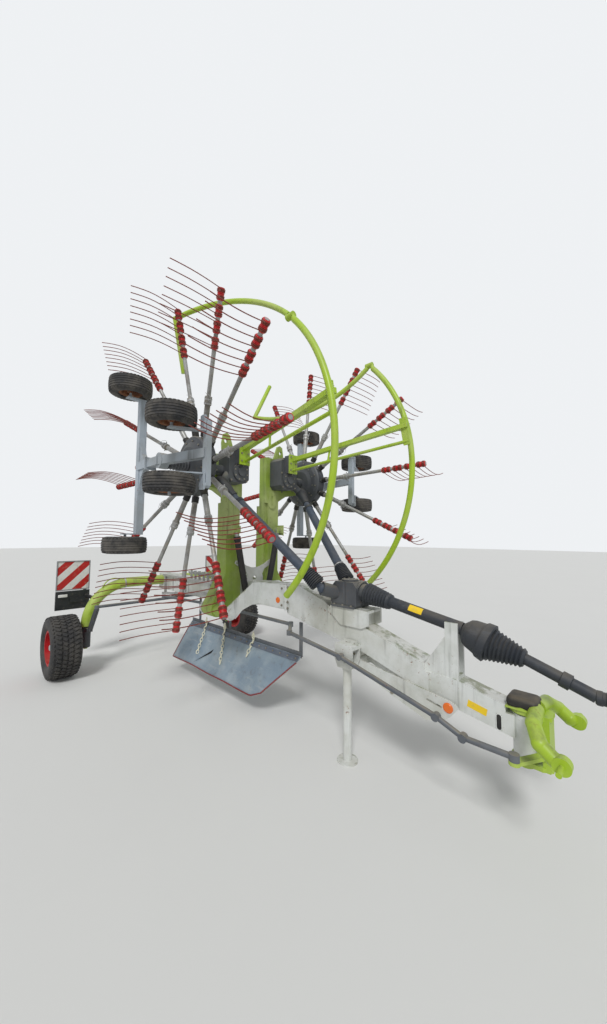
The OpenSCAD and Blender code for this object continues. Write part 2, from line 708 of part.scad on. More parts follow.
module tines(side) {
    color(red) on_side(side) translate([rotor_x, 0, rotor_h]) rotate([-90, 0, 0])
        for (i = [0 : arm_n - 1]) rotate(i * 360 / arm_n - 3)
            for (k = [0 : tine_n - 1]) double_tine(rotor_r - 50 - k * tine_pitch);
}

fork_y = 1030;
module carriage(side) {
    cy = 1175;
    fy = fork_y;
    color(grey) on_side(side) translate([rotor_x, 0, rotor_h]) {
        along_y([0, 1150, 0], 150, 80);
        // Back crossbar
        box_at([-rw_back, cy, 0], [70, 70, 2 * (rw_half - rw_w / 2 - 20)]);
        for (s = [-1, 1]) side_plate([[-rw_back, 0], [-rw_back + 190, s * 30], [-rw_back + 130, s * 62],
            [-rw_back + 80, s * 118], [-rw_back + 52, s * 200], [-rw_back + 34, s * 300], [-rw_back, s * 300]], cy, 50);
        along_x([-rw_back - 42, cy, 0], 66, 30);
        bar_between([-rw_back, cy, 0], [0, cy - 10, 0], 80, 80);
        box_at([-rw_back + 225, cy - 6, 0], [24, 110, 120]);
        bar_between([0, cy - 10, 0], [castor_x, fy, 0], 70, 80);
        box_at([castor_x, fy, 0], [60, 50, 2 * castor_half]);
        for (s = [-1, 1]) {
            // Stub plates and axles of the back wheels
            translate([-rw_back - 35, cy, s > 0 ? rw_half - rw_w / 2 - 32 : -rw_half + rw_w / 2 + 20])
                cube([70, rw_y - cy + 35, 12]);
            translate([-rw_back, rw_y, s > 0 ? rw_half - rw_w / 2 - 25 : -rw_half - 40])
                cylinder(d = 25, h = rw_w / 2 + 65);
            // Castor pins
            along_y([castor_x, crown_y - 12, s * castor_half], 36, 76);
        }
    }
}

module rotor_wheel_shape() {
    r = rw_r;
    w = rw_w / 2;
    rotate_extrude($fn = 72) polygon([
        [12.5 + run, -w + 30], [35, -w + 30], [35, -15], [75, -15], [85, -w + 20], [105, -w + 14],
        [120, -w + 2], [r - 35, -w], [r - 10, -w + 20], [r, -w + 50],
        [r, w - 50], [r - 10, w - 20], [r - 35, w], [120, w - 2], [105, w - 14], [85, w - 20],
        [75, 0], [35, 0], [35, w - 30], [12.5 + run, w - 30]]);
}

crown_y = fork_y + 25 + seat;
// high: 1 for the upper wheel of the folded rotor, -1 for the lower
module back_wheel(side, high) {
    color(black) on_side(side) translate([rotor_x - rw_back, rw_y, rotor_h + high * rw_half])
        rotate([0, 0, 0]) rotor_wheel_shape();
}

module castor(side, high) {
    z = rotor_h + high * castor_half;
    s = -high;
    color(grey) on_side(side) translate([rotor_x + castor_x, 0, z]) {
        difference() {
            union() {
                translate([0, crown_y, 0]) rotate([-90, 0, 0]) cylinder(d = 70, h = 26);
                translate([-32, crown_y + 6, s < 0 ? -rw_w / 2 - 24 : -32]) cube([64, 20, rw_w / 2 + 56]);
            }
            translate([0, crown_y - 10, 0]) rotate([-90, 0, 0]) cylinder(d = 36 + 2 * run, h = 60);
        }
        // One fork plate on the inner side, with the stub axle
        translate([0, 0, s > 0 ? rw_w / 2 + 12 : -rw_w / 2 - 24]) linear_extrude(12) {
            polygon([[-32, crown_y + 6], [30, crown_y + 6], [32, crown_y + 36], [-trail + 42, rw_y - 10],
                [-trail + 28, rw_y + 26], [-trail - 28, rw_y + 26], [-trail - 34, rw_y - 20], [-70, crown_y + 70]]);
        }
        translate([-trail, rw_y, s > 0 ? -rw_w / 2 - 6 : -rw_w / 2 - 24]) cylinder(d = 25, h = rw_w + 30);
    }
}

module castor_wheel(side, high) {
    z = rotor_h + high * castor_half;
    color(black) on_side(side) translate([rotor_x + castor_x - trail, rw_y, z]) rotor_wheel_shape();
}

// Guard hoops

joint_a = 45;
hoop_low_a = -46;
joint_p = [rotor_x + hoop_r * cos(joint_a), hoop_y, rotor_h + hoop_r * sin(joint_a)];
// The end leans outwards on a tighter arc and turns in sharply at its tip
end_r = 1550;
end_lean = 26.1;
end_turn = 60;
end_along = [-sin(joint_a), 0, cos(joint_a)];
end_in = [-cos(end_lean) * cos(joint_a), sin(end_lean), -cos(end_lean) * sin(joint_a)];
end_side = cross(-end_in, end_along);
end_c = joint_p + end_r * end_in;
function end_at(a) = end_c - end_r * cos(a) * end_in + end_r * sin(a) * end_along;
end_bar = [1950, hoop_y + 212, 3600];

module hoop(side) {
    plate_x0 = arm_front + seat + 275;
    color(green) on_side(side) {
        translate([rotor_x, hoop_y, rotor_h]) rotate([90, 0, 0]) rotate([0, 0, hoop_low_a])
            rotate_extrude(angle = joint_a - hoop_low_a - 2.2, $fn = 360) translate([hoop_r, 0]) circle(d = hoop_d);
        // Hinge of the folding end
        along_x(joint_p + [20 + seat / 2, 0, 0], 60, 40);
        rod_between(joint_p + [22, 0, 0], [rotor_x + hoop_r * cos(joint_a - 2.2), hoop_y,
            rotor_h + hoop_r * sin(joint_a - 2.2)], 40);
        // End plate, bar and strut that carry the hoop, and their plate on it
        translate([plate_x0 + seat, 296, rotor_h + 50]) cube([18, 128, 230]);
        bar_between([plate_x0 + 10, 366, rotor_h + 220], [rotor_x + hoop_r - 30, hoop_y - 24, rotor_h + 400], 60, 46);
        rod_between([plate_x0 + 10, 350, rotor_h + 90], [rotor_x + hoop_r - 16, hoop_y - 24, rotor_h + 240], 34);
        rod_between([plate_x0 + 500, 430, rotor_h + 132], [plate_x0 + 520, 446, rotor_h + 290], 24);
        side_plate([[rotor_x + hoop_r - 70, rotor_h + 200], [rotor_x + hoop_r - 6, rotor_h + 200],
            [rotor_x + hoop_r - 46, rotor_h + 480], [rotor_x + hoop_r - 118, rotor_h + 480]], hoop_y - 30, 14);
    }
}

module hoop_end_shape() {
    a0 = 1.1;
    along_x(joint_p - [20 + seat / 2, 0, 0], 60, 40);
    rod_between(joint_p - [22, 0, 0], end_at(a0 + 0.6), 44);
    multmatrix([
        [-end_in.x, end_along.x, end_side.x, end_c.x],
        [-end_in.y, end_along.y, end_side.y, end_c.y],
        [-end_in.z, end_along.z, end_side.z, end_c.z],
        [0, 0, 0, 1]])
        rotate([0, 0, a0]) rotate_extrude(angle = end_turn - a0, $fn = 360)
            translate([end_r, 0]) circle(d = hoop_d - 6);
    translate(end_at(end_turn)) sphere(d = hoop_d - 3);
    rod_between(end_at(end_turn), end_bar, hoop_d - 6);
}

module hoop_end(side) {
    folded = side > 0 ? hoop_fold : 0;
    color(green) on_side(side) translate(joint_p) rotate([folded, 0, 0]) translate(-joint_p)
        hoop_end_shape();
}

// Fold cylinders and drive shafts

cyl_v = cyl_eye - cyl_root;
cyl_u = cyl_v / norm(cyl_v);
module fold_barrel(side) {
    color(black) on_side(side) difference() {
        union() {
            rod_between(cyl_root, cyl_root + 70 * cyl_u, 34);
            rod_between(cyl_root + 54 * cyl_u, cyl_root + (norm(cyl_v) - 120) * cyl_u, 70);
            rod_between(cyl_root + (norm(cyl_v) - 130) * cyl_u, cyl_root + (norm(cyl_v) - 84) * cyl_u, 78);
            along_x(cyl_root, 50, 36);
        }
        along_x(cyl_root, 24 + 2 * run, 60);
        rod_between(cyl_root + 80 * cyl_u, cyl_root + norm(cyl_v) * cyl_u, 40 + 2 * run);
    }
}

module fold_rod(side) {
    color(silver) on_side(side) {
        rod_between(cyl_root + 140 * cyl_u, cyl_eye, 40);
        along_x(cyl_eye, 50, 36);
    }
}

drive_v = drive_eye - drive_root;
drive_l = norm(drive_v);
drive_u = drive_v / drive_l;
module drive_tube(side) {
    color(dark) on_side(side) {
        translate(drive_root) sphere(d = ball_d);
        rod_between(drive_root, drive_root + 90 * drive_u, 56);
        difference() {
            rod_between(drive_root + 62 * drive_u, drive_root + (drive_l - 300) * drive_u, 90);
            rod_between(drive_root + 110 * drive_u, drive_root + drive_l * drive_u, 70 + 2 * run);
        }
    }
}

module drive_sleeve(side) {
    color(dark) on_side(side)
        rod_between(drive_root + 120 * drive_u, drive_eye - 54 * drive_u, 70);
}

main_beam();
centre_gearbox();
pto_shaft();
rear_axle();
warning_boards();
curtain_strip();
curtain();
stow_rack();
headstock();
steering_rod();
steer_lever();
track_rod();
stand_leg();
knuckle(1);  // knuckle_left
knuckle(-1);  // knuckle_right
rear_tyre(1);  // rear_tyre_left
rear_tyre(-1);  // rear_tyre_right
rear_rim(1);  // rear_rim_left
rear_rim(-1);  // rear_rim_right
rotor_arm(1);  // rotor_arm_left
rotor_arm(-1);  // rotor_arm_right
rotor_gearbox(1);  // rotor_gearbox_left
rotor_gearbox(-1);  // rotor_gearbox_right
drum(1);  // drum_left
drum(-1);  // drum_right
tine_arms(1);  // tine_arms_left
tine_arms(-1);  // tine_arms_right
tines(1);  // tines_left
tines(-1);  // tines_right
carriage(1);  // carriage_left
carriage(-1);  // carriage_right
hoop(1);  // hoop_left
hoop(-1);  // hoop_right
hoop_end(1);  // hoop_end_left
hoop_end(-1);  // hoop_end_right
back_wheel(1, -1);  // back_wheel_low_left
back_wheel(-1, -1);  // back_wheel_low_right
back_wheel(1, 1);  // back_wheel_high_left
back_wheel(-1, 1);  // back_wheel_high_right
castor(1, -1);  // castor_low_left
castor(-1, -1);  // castor_low_right
castor(1, 1);  // castor_high_left
castor(-1, 1);  // castor_high_right
castor_wheel(1, -1);  // castor_wheel_low_left
castor_wheel(-1, -1);  // castor_wheel_low_right
castor_wheel(1, 1);  // castor_wheel_high_left
castor_wheel(-1, 1);  // castor_wheel_high_right
fold_barrel(1);  // fold_barrel_left
fold_barrel(-1);  // fold_barrel_right
fold_rod(1);  // fold_rod_left
fold_rod(-1);  // fold_rod_right
drive_tube(1);  // drive_tube_left
drive_tube(-1);  // drive_tube_right
drive_sleeve(1);  // drive_sleeve_left
drive_sleeve(-1);  // drive_sleeve_right
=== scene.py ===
"""Looks for a twin-rotor rotary hay rake, folded for the road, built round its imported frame."""

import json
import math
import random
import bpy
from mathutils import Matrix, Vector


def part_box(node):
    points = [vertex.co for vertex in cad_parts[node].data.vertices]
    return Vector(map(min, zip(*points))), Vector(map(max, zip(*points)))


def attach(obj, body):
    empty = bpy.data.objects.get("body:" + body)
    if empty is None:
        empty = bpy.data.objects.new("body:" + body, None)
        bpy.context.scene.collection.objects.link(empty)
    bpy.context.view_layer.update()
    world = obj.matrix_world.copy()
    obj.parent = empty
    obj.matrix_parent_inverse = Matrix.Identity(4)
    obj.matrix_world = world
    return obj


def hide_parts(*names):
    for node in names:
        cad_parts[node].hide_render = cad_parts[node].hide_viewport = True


bl_info = {
    "name": "Rotary hay rake",
    "version": (1, 0, 0),
    "blender": (4, 5, 0),
    "location": "3D View > Sidebar > Hay rake",
    "description": "Dresses the frame of a twin-rotor hay rake with its finishes and fine pieces",
    "category": "Add Mesh",
}

import bmesh
import bpy
from bpy.props import FloatProperty, FloatVectorProperty, IntProperty, PointerProperty
from mathutils import Matrix, Vector

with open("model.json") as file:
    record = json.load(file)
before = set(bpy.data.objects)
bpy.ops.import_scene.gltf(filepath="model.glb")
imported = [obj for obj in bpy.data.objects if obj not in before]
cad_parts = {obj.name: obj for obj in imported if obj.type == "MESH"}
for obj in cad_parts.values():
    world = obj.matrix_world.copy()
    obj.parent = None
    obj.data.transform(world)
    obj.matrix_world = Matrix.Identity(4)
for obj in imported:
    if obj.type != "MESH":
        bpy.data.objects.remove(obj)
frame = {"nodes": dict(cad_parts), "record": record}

SIDES = (("left", 1), ("right", -1))
# The middle of the machine's length, ahead of its rear axle
MID_X = 2.415
UP = Vector((0, 0, 1))


def at(x, y, z):
    """A place in metres from millimetres, with x measured from the rear axle."""
    return Vector((x / 1000 - MID_X, y / 1000, z / 1000))


def middle(node):
    low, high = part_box(node)
    return (low + high) / 2


BODIES = frame["record"]["behaviour"]["bodies"]
BODY_OF_NODE = {node: body for body, nodes in BODIES.items() for node in nodes}


def body_of(node):
    return BODY_OF_NODE[node]


# Shader building


class Value:
    """A shader socket that takes Python's arithmetic."""

    def __init__(self, paint, socket):
        self.paint = paint
        self.socket = socket

    def __add__(self, other):
        return self.paint.math("ADD", self, other)

    __radd__ = __add__

    def __sub__(self, other):
        return self.paint.math("SUBTRACT", self, other)

    def __rsub__(self, other):
        return self.paint.math("SUBTRACT", other, self)

    def __mul__(self, other):
        return self.paint.math("MULTIPLY", self, other)

    __rmul__ = __mul__

    def __pow__(self, other):
        return self.paint.math("POWER", self, other)


class Paint:
    """One material, built node by node on object coordinates."""

    def __init__(self, name):
        self.material = bpy.data.materials.new(name)
        self.material.use_nodes = True
        self.tree = self.material.node_tree
        self.tree.nodes.clear()
        self.shader = self.tree.nodes.new("ShaderNodeBsdfPrincipled")
        output = self.tree.nodes.new("ShaderNodeOutputMaterial")
        self.tree.links.new(self.shader.outputs[0], output.inputs["Surface"])
        self.place = self.add("ShaderNodeTexCoord", output="Object")

    def add(self, kind, settings=None, inputs=None, output=0):
        """Adds a node with its settings and its sockets' values or links."""
        node = self.tree.nodes.new(kind)
        for key, value in (settings or {}).items():
            if key == "stops":
                ramp = node.color_ramp
                while len(ramp.elements) < len(value):
                    ramp.elements.new(1.0)
                for element, (position, colour) in zip(ramp.elements, value):
                    element.position = position
                    element.color = colour
            else:
                setattr(node, key, value)
        for key, value in (inputs or {}).items():
            if isinstance(value, Value):
                self.tree.links.new(value.socket, node.inputs[key])
            else:
                node.inputs[key].default_value = value
        return Value(self, node.outputs[output])

    def math(self, operation, *values, clamp=False):
        inputs = dict(enumerate(values))
        return self.add("ShaderNodeMath", {"operation": operation, "use_clamp": clamp}, inputs)

    def stretched(self, scale, move=(0, 0, 0)):
        """Object coordinates, scaled apart along each axis."""
        inputs = {"Vector": self.place, "Scale": scale, "Location": move}
        return self.add("ShaderNodeMapping", None, inputs)

    def noise(self, scale, detail=3.0, rough=0.55, vector=None, seed=0.0):
        """Cloudy noise; a seed moves it to another part of its pattern."""
        vector = vector or self.stretched((1, 1, 1), (seed, seed * 0.7, seed * 1.3))
        return self.add("ShaderNodeTexNoise", None, {
            "Vector": vector, "Scale": scale, "Detail": detail, "Roughness": rough})

    def step(self, value, low, high):
        """0 below low, 1 above high, smooth between them."""
        return self.add("ShaderNodeMapRange", {"interpolation_type": "SMOOTHSTEP"}, {
            0: value, 1: low, 2: high, 3: 0.0, 4: 1.0})

    def axis(self, name):
        """One of the object coordinates."""
        return self.add("ShaderNodeSeparateXYZ", None, {"Vector": self.place}, "XYZ".index(name))

    def facing(self, name):
        """One component of the surface's own direction."""
        normal = self.add("ShaderNodeTexCoord", output="Normal")
        return self.add("ShaderNodeSeparateXYZ", None, {"Vector": normal}, "XYZ".index(name))

    def mix(self, factor, first, second):
        """The first colour at 0 and the second at 1."""
        colours = []
        for colour in (first, second):
            colours.append(colour if isinstance(colour, Value) else (*colour, 1.0))
        return self.add("ShaderNodeMix", {"data_type": "RGBA"}, {
            0: factor, 6: colours[0], 7: colours[1]}, 2)

    def finish(self, colour, roughness, metallic=0.0, bump=None, height=0.001, coat=0.0):
        """Feeds the shader and returns the material."""
        sockets = self.shader.inputs
        for key, value in (("Base Color", colour), ("Roughness", roughness), ("Metallic", metallic)):
            if isinstance(value, Value):
                self.tree.links.new(value.socket, sockets[key])
            else:
                sockets[key].default_value = (*value, 1.0) if key == "Base Color" else value
        sockets["Coat Weight"].default_value = coat
        if bump is not None:
            normal = self.add("ShaderNodeBump", None, {
                "Strength": 0.6, "Distance": height, "Height": bump})
            self.tree.links.new(normal.socket, sockets["Normal"])
        return self.material


def linear(red, green, blue):
    """A screen colour as the shader's linear one."""
    parts = []
    for part in (red, green, blue):
        parts.append(part / 12.92 if part <= 0.04045 else ((part + 0.055) / 1.055) ** 2.4)
    return tuple(parts)


RUST = linear(0.42, 0.22, 0.12)
DUST = linear(0.62, 0.57, 0.48)
ALGAE = linear(0.36, 0.42, 0.22)
GRIME = linear(0.25, 0.25, 0.22)


def weathered(name, colour, faded, seed, rust=0.5, streaks=0.5, algae=0.4, dust=0.3,
              roughness=0.45, metallic=0.0, chips=0.5, sparse=0.0):
    """Paint that has stood outside: faded patches, streaks, rust spots, algae on top, dust."""
    p = Paint(name)
    fade = p.step(p.noise(1.7, 5, 0.6, seed=seed), 0.38, 0.66)
    base = p.mix(fade * 0.85, colour, faded)
    runs = p.noise(1.0, 4, 0.6, vector=p.stretched((16, 16, 1.1), (seed, seed, 0)))
    broad = p.noise(2.6, 3, 0.5, seed=seed + 5)
    run_mask = p.step(runs, 0.5, 0.72) * p.step(broad, 0.4, 0.62) * streaks
    base = p.mix(run_mask, base, GRIME)
    top = p.step(p.facing("Z"), 0.35, 0.9)
    moss = p.noise(9, 5, 0.65, seed=seed + 9)
    moss_mask = (top * 0.75 + 0.12) * p.step(moss, 0.46, 0.62) * algae
    base = p.mix(moss_mask, base, ALGAE)
    base = p.mix(top * p.step(p.noise(4, 4, seed=seed + 13), 0.3, 0.7) * dust, base, DUST)
    spots = p.noise(38, 3, 0.7, seed=seed + 2)
    cluster = p.step(p.noise(3.1, 2, seed=seed + 3), 0.45, 0.7)
    limit = 0.735 + sparse - 0.1 * cluster
    rust_mask = p.math("MULTIPLY", p.step(spots - limit, 0.0, 0.035), min(1.0, rust), clamp=True)
    halo = p.step(spots - limit, -0.09, 0.0) * 0.35 * rust
    base = p.mix(halo, base, linear(0.55, 0.4, 0.25))
    base = p.mix(rust_mask, base, RUST)
    fine = p.noise(160, 2, 0.5, seed=seed)
    rough = roughness + 0.18 * fade + 0.3 * rust_mask + 0.16 * run_mask + 0.06 * (fine - 0.5)
    bump = fine * 0.12 + moss_mask * 0.3 - rust_mask * chips
    return p.finish(base, rough, metallic, bump, 0.0012)


def zinc_coat(name, colour, seed, dust=0.5, stain=0.5):
    """Dull zinc with faint spangle, brown stains and dust."""
    p = Paint(name)
    spangle = p.add("ShaderNodeTexVoronoi", {"feature": "F1"}, {
        "Vector": p.place, "Scale": 60.0}, "Distance")
    dark = tuple(0.7 * part for part in colour)
    base = p.mix(p.step(spangle, 0.2, 0.7) * 0.5, colour, dark)
    patch = p.step(p.noise(5, 5, 0.65, seed=seed), 0.45, 0.68)
    base = p.mix(patch * stain, base, linear(0.36, 0.29, 0.22))
    base = p.mix(p.step(p.noise(11, 4, seed=seed + 4), 0.48, 0.7) * dust, base, DUST)
    rough = 0.42 + 0.3 * patch + 0.08 * p.noise(90, 2, seed=seed)
    return p.finish(base, rough, 0.55, p.noise(120, 3, seed=seed) + patch * 0.4, 0.0006)


def rubber(name, seed, dust=0.55):
    """Tyre rubber with pale dust that lies in patches."""
    p = Paint(name)
    broad = p.step(p.noise(7, 5, 0.65, seed=seed), 0.36, 0.68)
    fine = p.noise(70, 4, 0.7, seed=seed + 1)
    dusty = broad * dust * 0.8 + (fine - 0.5) * 0.4
    base = p.mix(dusty, linear(0.17, 0.17, 0.175), linear(0.47, 0.45, 0.42))
    rough = 0.72 + 0.2 * broad
    return p.finish(base, rough, 0.0, fine + 0.4 * p.noise(180, 2, seed=seed), 0.0012)


def moulded(name, colour, seed, dust=0.35, roughness=0.55):
    """Plastic or soft rubber mouldings with scuffs and dust on top."""
    p = Paint(name)
    pale = tuple(min(1.0, part * 1.9 + 0.03) for part in colour)
    scuff = p.noise(1.0, 5, 0.7, vector=p.stretched((9, 26, 26), (seed, 0, 0)))
    base = p.mix(p.step(scuff, 0.52, 0.74) * 0.45, colour, pale)
    top = p.step(p.facing("Z"), 0.1, 0.95)
    settled = (top * 0.8 + 0.12) * p.step(p.noise(6, 5, 0.6, seed=seed), 0.3, 0.65) * dust
    base = p.mix(settled, base, DUST)
    grain = p.noise(210, 2, 0.5, seed=seed)
    return p.finish(base, roughness + 0.25 * settled + 0.08 * grain, 0.0, grain, 0.0005)


def board_finish():
    """Red and white slanted stripes on the boards, dark on what carries them."""
    stripes_per_metre = 4.1
    board_bottom, board_top = 1.0435, 1.4385
    board_inside, board_outside = 0.983, 1.379
    back_face = -2.9345
    lens_height, lens_radius = 0.94, 0.036
    p = Paint("board_stripes")
    side = p.math("ABSOLUTE", p.axis("Y"))
    height = p.axis("Z")
    band = p.math("FRACT", (height - 1.03 + side - 0.97) * stripes_per_metre)
    red_mask = p.step(band, 0.49, 0.51) * (1 - p.step(band, 0.985, 1.0))
    wear = p.step(p.noise(14, 5, 0.7), 0.42, 0.75) * 0.28
    red = p.mix(wear, linear(0.72, 0.10, 0.09), linear(0.62, 0.25, 0.2))
    white = p.mix(wear, linear(0.88, 0.88, 0.86), linear(0.66, 0.64, 0.58))
    stripes = p.mix(red_mask, white, red)
    on_board = p.step(height, board_bottom, board_bottom + 0.0015)
    on_board = on_board * (1 - p.step(height, board_top, board_top + 0.0015))
    on_board = on_board * p.step(side, board_inside, board_inside + 0.0005)
    on_board = on_board * (1 - p.step(side, board_outside, board_outside + 0.001))
    base = p.mix(p.step(height, 1.028, 1.0285), linear(0.15, 0.16, 0.17), linear(0.55, 0.56, 0.57))
    base = p.mix(on_board, base, stripes)
    behind = 1 - p.step(p.axis("X"), back_face, back_face + 0.0005)
    for out, colour in ((1.305, linear(0.72, 0.10, 0.08)), (1.205, linear(0.90, 0.45, 0.10))):
        # Flush lenses on the back of the lamp panels
        away = p.math("SQRT", (side - out) ** 2 + (height - lens_height) ** 2)
        lens = 1 - p.step(away, lens_radius, lens_radius + 0.001)
        base = p.mix(lens * behind, base, colour)
    base = p.mix(p.step(p.noise(24, 4, seed=3), 0.55, 0.8) * 0.4, base, DUST)
    return p.finish(base, 0.38 + 0.3 * wear, 0.0, p.noise(130, 2), 0.0004)


def cloth_finish():
    """Grey-blue coated sheet with a fine weave, creases and brown stains; its red-brown hem is a piece
    of its own.
    """
    p = Paint("coated_sheet")
    weave = p.add("ShaderNodeTexWave", {"wave_type": "BANDS", "bands_direction": "X"}, {
        "Vector": p.place, "Scale": 130.0, "Distortion": 0.4})
    weft = p.add("ShaderNodeTexWave", {"wave_type": "BANDS", "bands_direction": "Z"}, {
        "Vector": p.place, "Scale": 130.0, "Distortion": 0.4})
    patch = p.step(p.noise(3.2, 5, 0.6), 0.35, 0.68)
    base = p.mix(patch, linear(0.50, 0.57, 0.63), linear(0.62, 0.67, 0.70))
    rub = p.noise(1.0, 5, 0.7, vector=p.stretched((3, 3, 20)))
    base = p.mix(p.step(rub, 0.55, 0.75) * 0.5, base, linear(0.75, 0.76, 0.76))
    base = p.mix(p.step(p.noise(17, 4, seed=6), 0.55, 0.75) * 0.35, base, linear(0.42, 0.38, 0.3))
    return p.finish(base, 0.5 + 0.2 * patch, 0.0, weave * 0.25 + weft * 0.25 + rub, 0.0015)


def plain_finish(name, colour, roughness=0.4, metallic=0.0, seed=0.0, coat=0.0):
    """A small part's finish: one colour that dust and wear break up."""
    p = Paint(name)
    worn = p.step(p.noise(30, 4, 0.6, seed=seed), 0.5, 0.75)
    base = p.mix(worn * 0.4, colour, DUST)
    return p.finish(base, roughness + 0.25 * worn, metallic, p.noise(140, 2, seed=seed), 0.0004, coat)


def rim_rust_finish():
    """Orange-brown rusty rims with some dust."""
    p = Paint("rusty_rim")
    deep = p.step(p.noise(16, 5, 0.7), 0.36, 0.64)
    base = p.mix(deep, linear(0.58, 0.37, 0.24), linear(0.40, 0.24, 0.16))
    base = p.mix(p.step(p.noise(40, 4, seed=8), 0.5, 0.75) * 0.6, base, DUST)
    return p.finish(base, 0.82 + 0.1 * p.noise(60, 2), 0.1, p.noise(85, 4), 0.0015)


# Finish, material, colour, faded colour, seed, rust, streaks, algae, dust, roughness
WEATHERED = (
    ("mast", "faded_lime_paint", (0.57, 0.67, 0.25), (0.70, 0.74, 0.50), 17, 0.4, 0.85, 0.9, 0.3, 0.5),
    ("carriage", "pale_blue_grey_paint", (0.66, 0.70, 0.74), (0.58, 0.60, 0.61),
     23, 0.7, 0.5, 0.25, 0.5, 0.45),
    ("casting", "dark_casting", (0.27, 0.28, 0.30), (0.36, 0.37, 0.38), 31, 0.35, 0.5, 0.2, 0.55, 0.5),
    ("rod", "dark_rod_paint", (0.33, 0.35, 0.38), (0.46, 0.47, 0.48), 41, 0.6, 0.3, 0.2, 0.5, 0.45),
    ("red_rim", "red_rim_paint", (0.72, 0.08, 0.12), (0.66, 0.22, 0.22), 27, 0.25, 0.2, 0.1, 0.45, 0.45),
)
# Finish, material, colour, seed, dust, brown stain
ZINC = (
    ("arm", "dusty_zinc", (0.66, 0.66, 0.65), 5, 0.4, 0.45),
    ("steel", "bright_steel", (0.74, 0.74, 0.74), 8, 0.2, 0.2),
    ("bolt", "bolt_zinc", (0.62, 0.60, 0.55), 15, 0.4, 0.5),
)
# Finish, material, colour, seed, dust, roughness
MOULDED = (
    ("guard", "black_guard_plastic", (0.16, 0.18, 0.21), 3, 0.22, 0.55),
    ("shaft", "blue_grey_guard_tube", (0.25, 0.29, 0.35), 9, 0.2, 0.55),
    ("clamp", "slate_band", (0.36, 0.40, 0.46), 33, 0.25, 0.55),
    ("black", "black_rubber", (0.09, 0.09, 0.10), 21, 0.35, 0.6),
)
# Finish, material, colour, roughness, metallic, seed, coat
PLAIN = (
    ("hem", "red_brown_hem", (0.52, 0.22, 0.23), 0.7, 0.0, 0, 0.0),
    ("coil", "red_holder_plastic", (0.78, 0.14, 0.16), 0.45, 0.0, 2, 0.0),
    ("wire", "brown_spring_wire", (0.50, 0.22, 0.18), 0.5, 0.3, 7, 0.0),
    ("amber", "amber_plastic", (0.93, 0.45, 0.10), 0.25, 0.0, 4, 0.4),
    ("yellow", "yellow_plate", (0.95, 0.80, 0.15), 0.4, 0.0, 9, 0.0),
    ("lens", "lamp_lens", (0.75, 0.12, 0.10), 0.2, 0.0, 3, 0.6),
    ("pale_lens", "pale_lens", (0.90, 0.90, 0.88), 0.2, 0.0, 6, 0.6),
    ("chain", "pale_chain", (0.94, 0.93, 0.84), 0.45, 0.0, 12, 0.0),
)
FINISHES = {}


def make_finishes(colours):
    """Every finish of the machine by its plain name."""
    FINISHES.update({
        "white": weathered("white_paint", tuple(colours.beam_white), linear(0.74, 0.74, 0.70),
                           1, 1.0, 0.6, 0.85, 0.3, 0.4, sparse=0.035),
        "lime": weathered("lime_paint", tuple(colours.lime), linear(0.70, 0.76, 0.42),
                          12, 0.35, 0.45, 0.5, 0.25, 0.38),
        "tyre": rubber("dusty_tyre_rubber", 4, dust=0.75),
        "road_tyre": rubber("road_tyre_rubber", 11, dust=0.4),
        "rim": rim_rust_finish(),
        "board": board_finish(),
        "sheet": cloth_finish(),
    })
    for finish, name, colour, faded, *rest in WEATHERED:
        FINISHES[finish] = weathered(name, linear(*colour), linear(*faded), *rest)
    for make, table in ((zinc_coat, ZINC), (moulded, MOULDED), (plain_finish, PLAIN)):
        for finish, name, colour, *rest in table:
            FINISHES[finish] = make(name, linear(*colour), *rest)


NODE_FINISHES = (
    (("main_beam", "stand_leg"), "white"),
    (("rotor_arm",), "mast"),
    (("rear_axle", "headstock", "hoop", "hoop_end"), "lime"),
    (("centre_gearbox", "rotor_gearbox", "drum", "knuckle"), "casting"),
    (("pto_shaft",), "guard"),
    (("drive_tube", "drive_sleeve"), "shaft"),
    (("curtain_strip", "steer_lever", "steering_rod", "track_rod"), "rod"),
    (("stow_rack",), "steel"),
    (("tine_arms",), "arm"),
    (("carriage", "castor"), "carriage"),
    (("fold_barrel",), "black"),
    (("fold_rod",), "steel"),
    (("rear_tyre",), "road_tyre"),
    (("rear_rim",), "red_rim"),
    (("back_wheel", "castor_wheel"), "tyre"),
    (("tines",), "wire"),
    (("warning_boards",), "board"),
    (("curtain",), "sheet"),
)


def stem(node):
    """A node's name without its side and height."""
    words = node.split("_")
    return "_".join(word for word in words if word not in ("left", "right", "low", "high"))


# Mesh building


def new_piece(name, bm, finishes, body, replaces=(), crease=35.0, weld=True):
    """Turns a bmesh into a piece that rides on a body."""
    if weld:
        bmesh.ops.remove_doubles(bm, verts=bm.verts, dist=0.00002)
        bmesh.ops.recalc_face_normals(bm, faces=bm.faces)
    mesh = bpy.data.meshes.new(name)
    bm.to_mesh(mesh)
    bm.free()
    for polygon in mesh.polygons:
        polygon.use_smooth = True
    mesh.set_sharp_from_angle(angle=math.radians(crease))
    for finish in finishes if isinstance(finishes, tuple) else (finishes,):
        mesh.materials.append(FINISHES[finish])
    piece = bpy.data.objects.new(name, mesh)
    bpy.context.scene.collection.objects.link(piece)
    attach(piece, body)
    if replaces:
        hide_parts(*replaces)
    return piece


def facing(direction, up=None):
    """Turn that takes local Z to a direction."""
    direction = Vector(direction).normalized()
    if up is None:
        return direction.to_track_quat("Z", "Y").to_matrix().to_4x4()
    side = Vector(up).cross(direction).normalized()
    return Matrix((side, direction.cross(side), direction)).transposed().to_4x4()


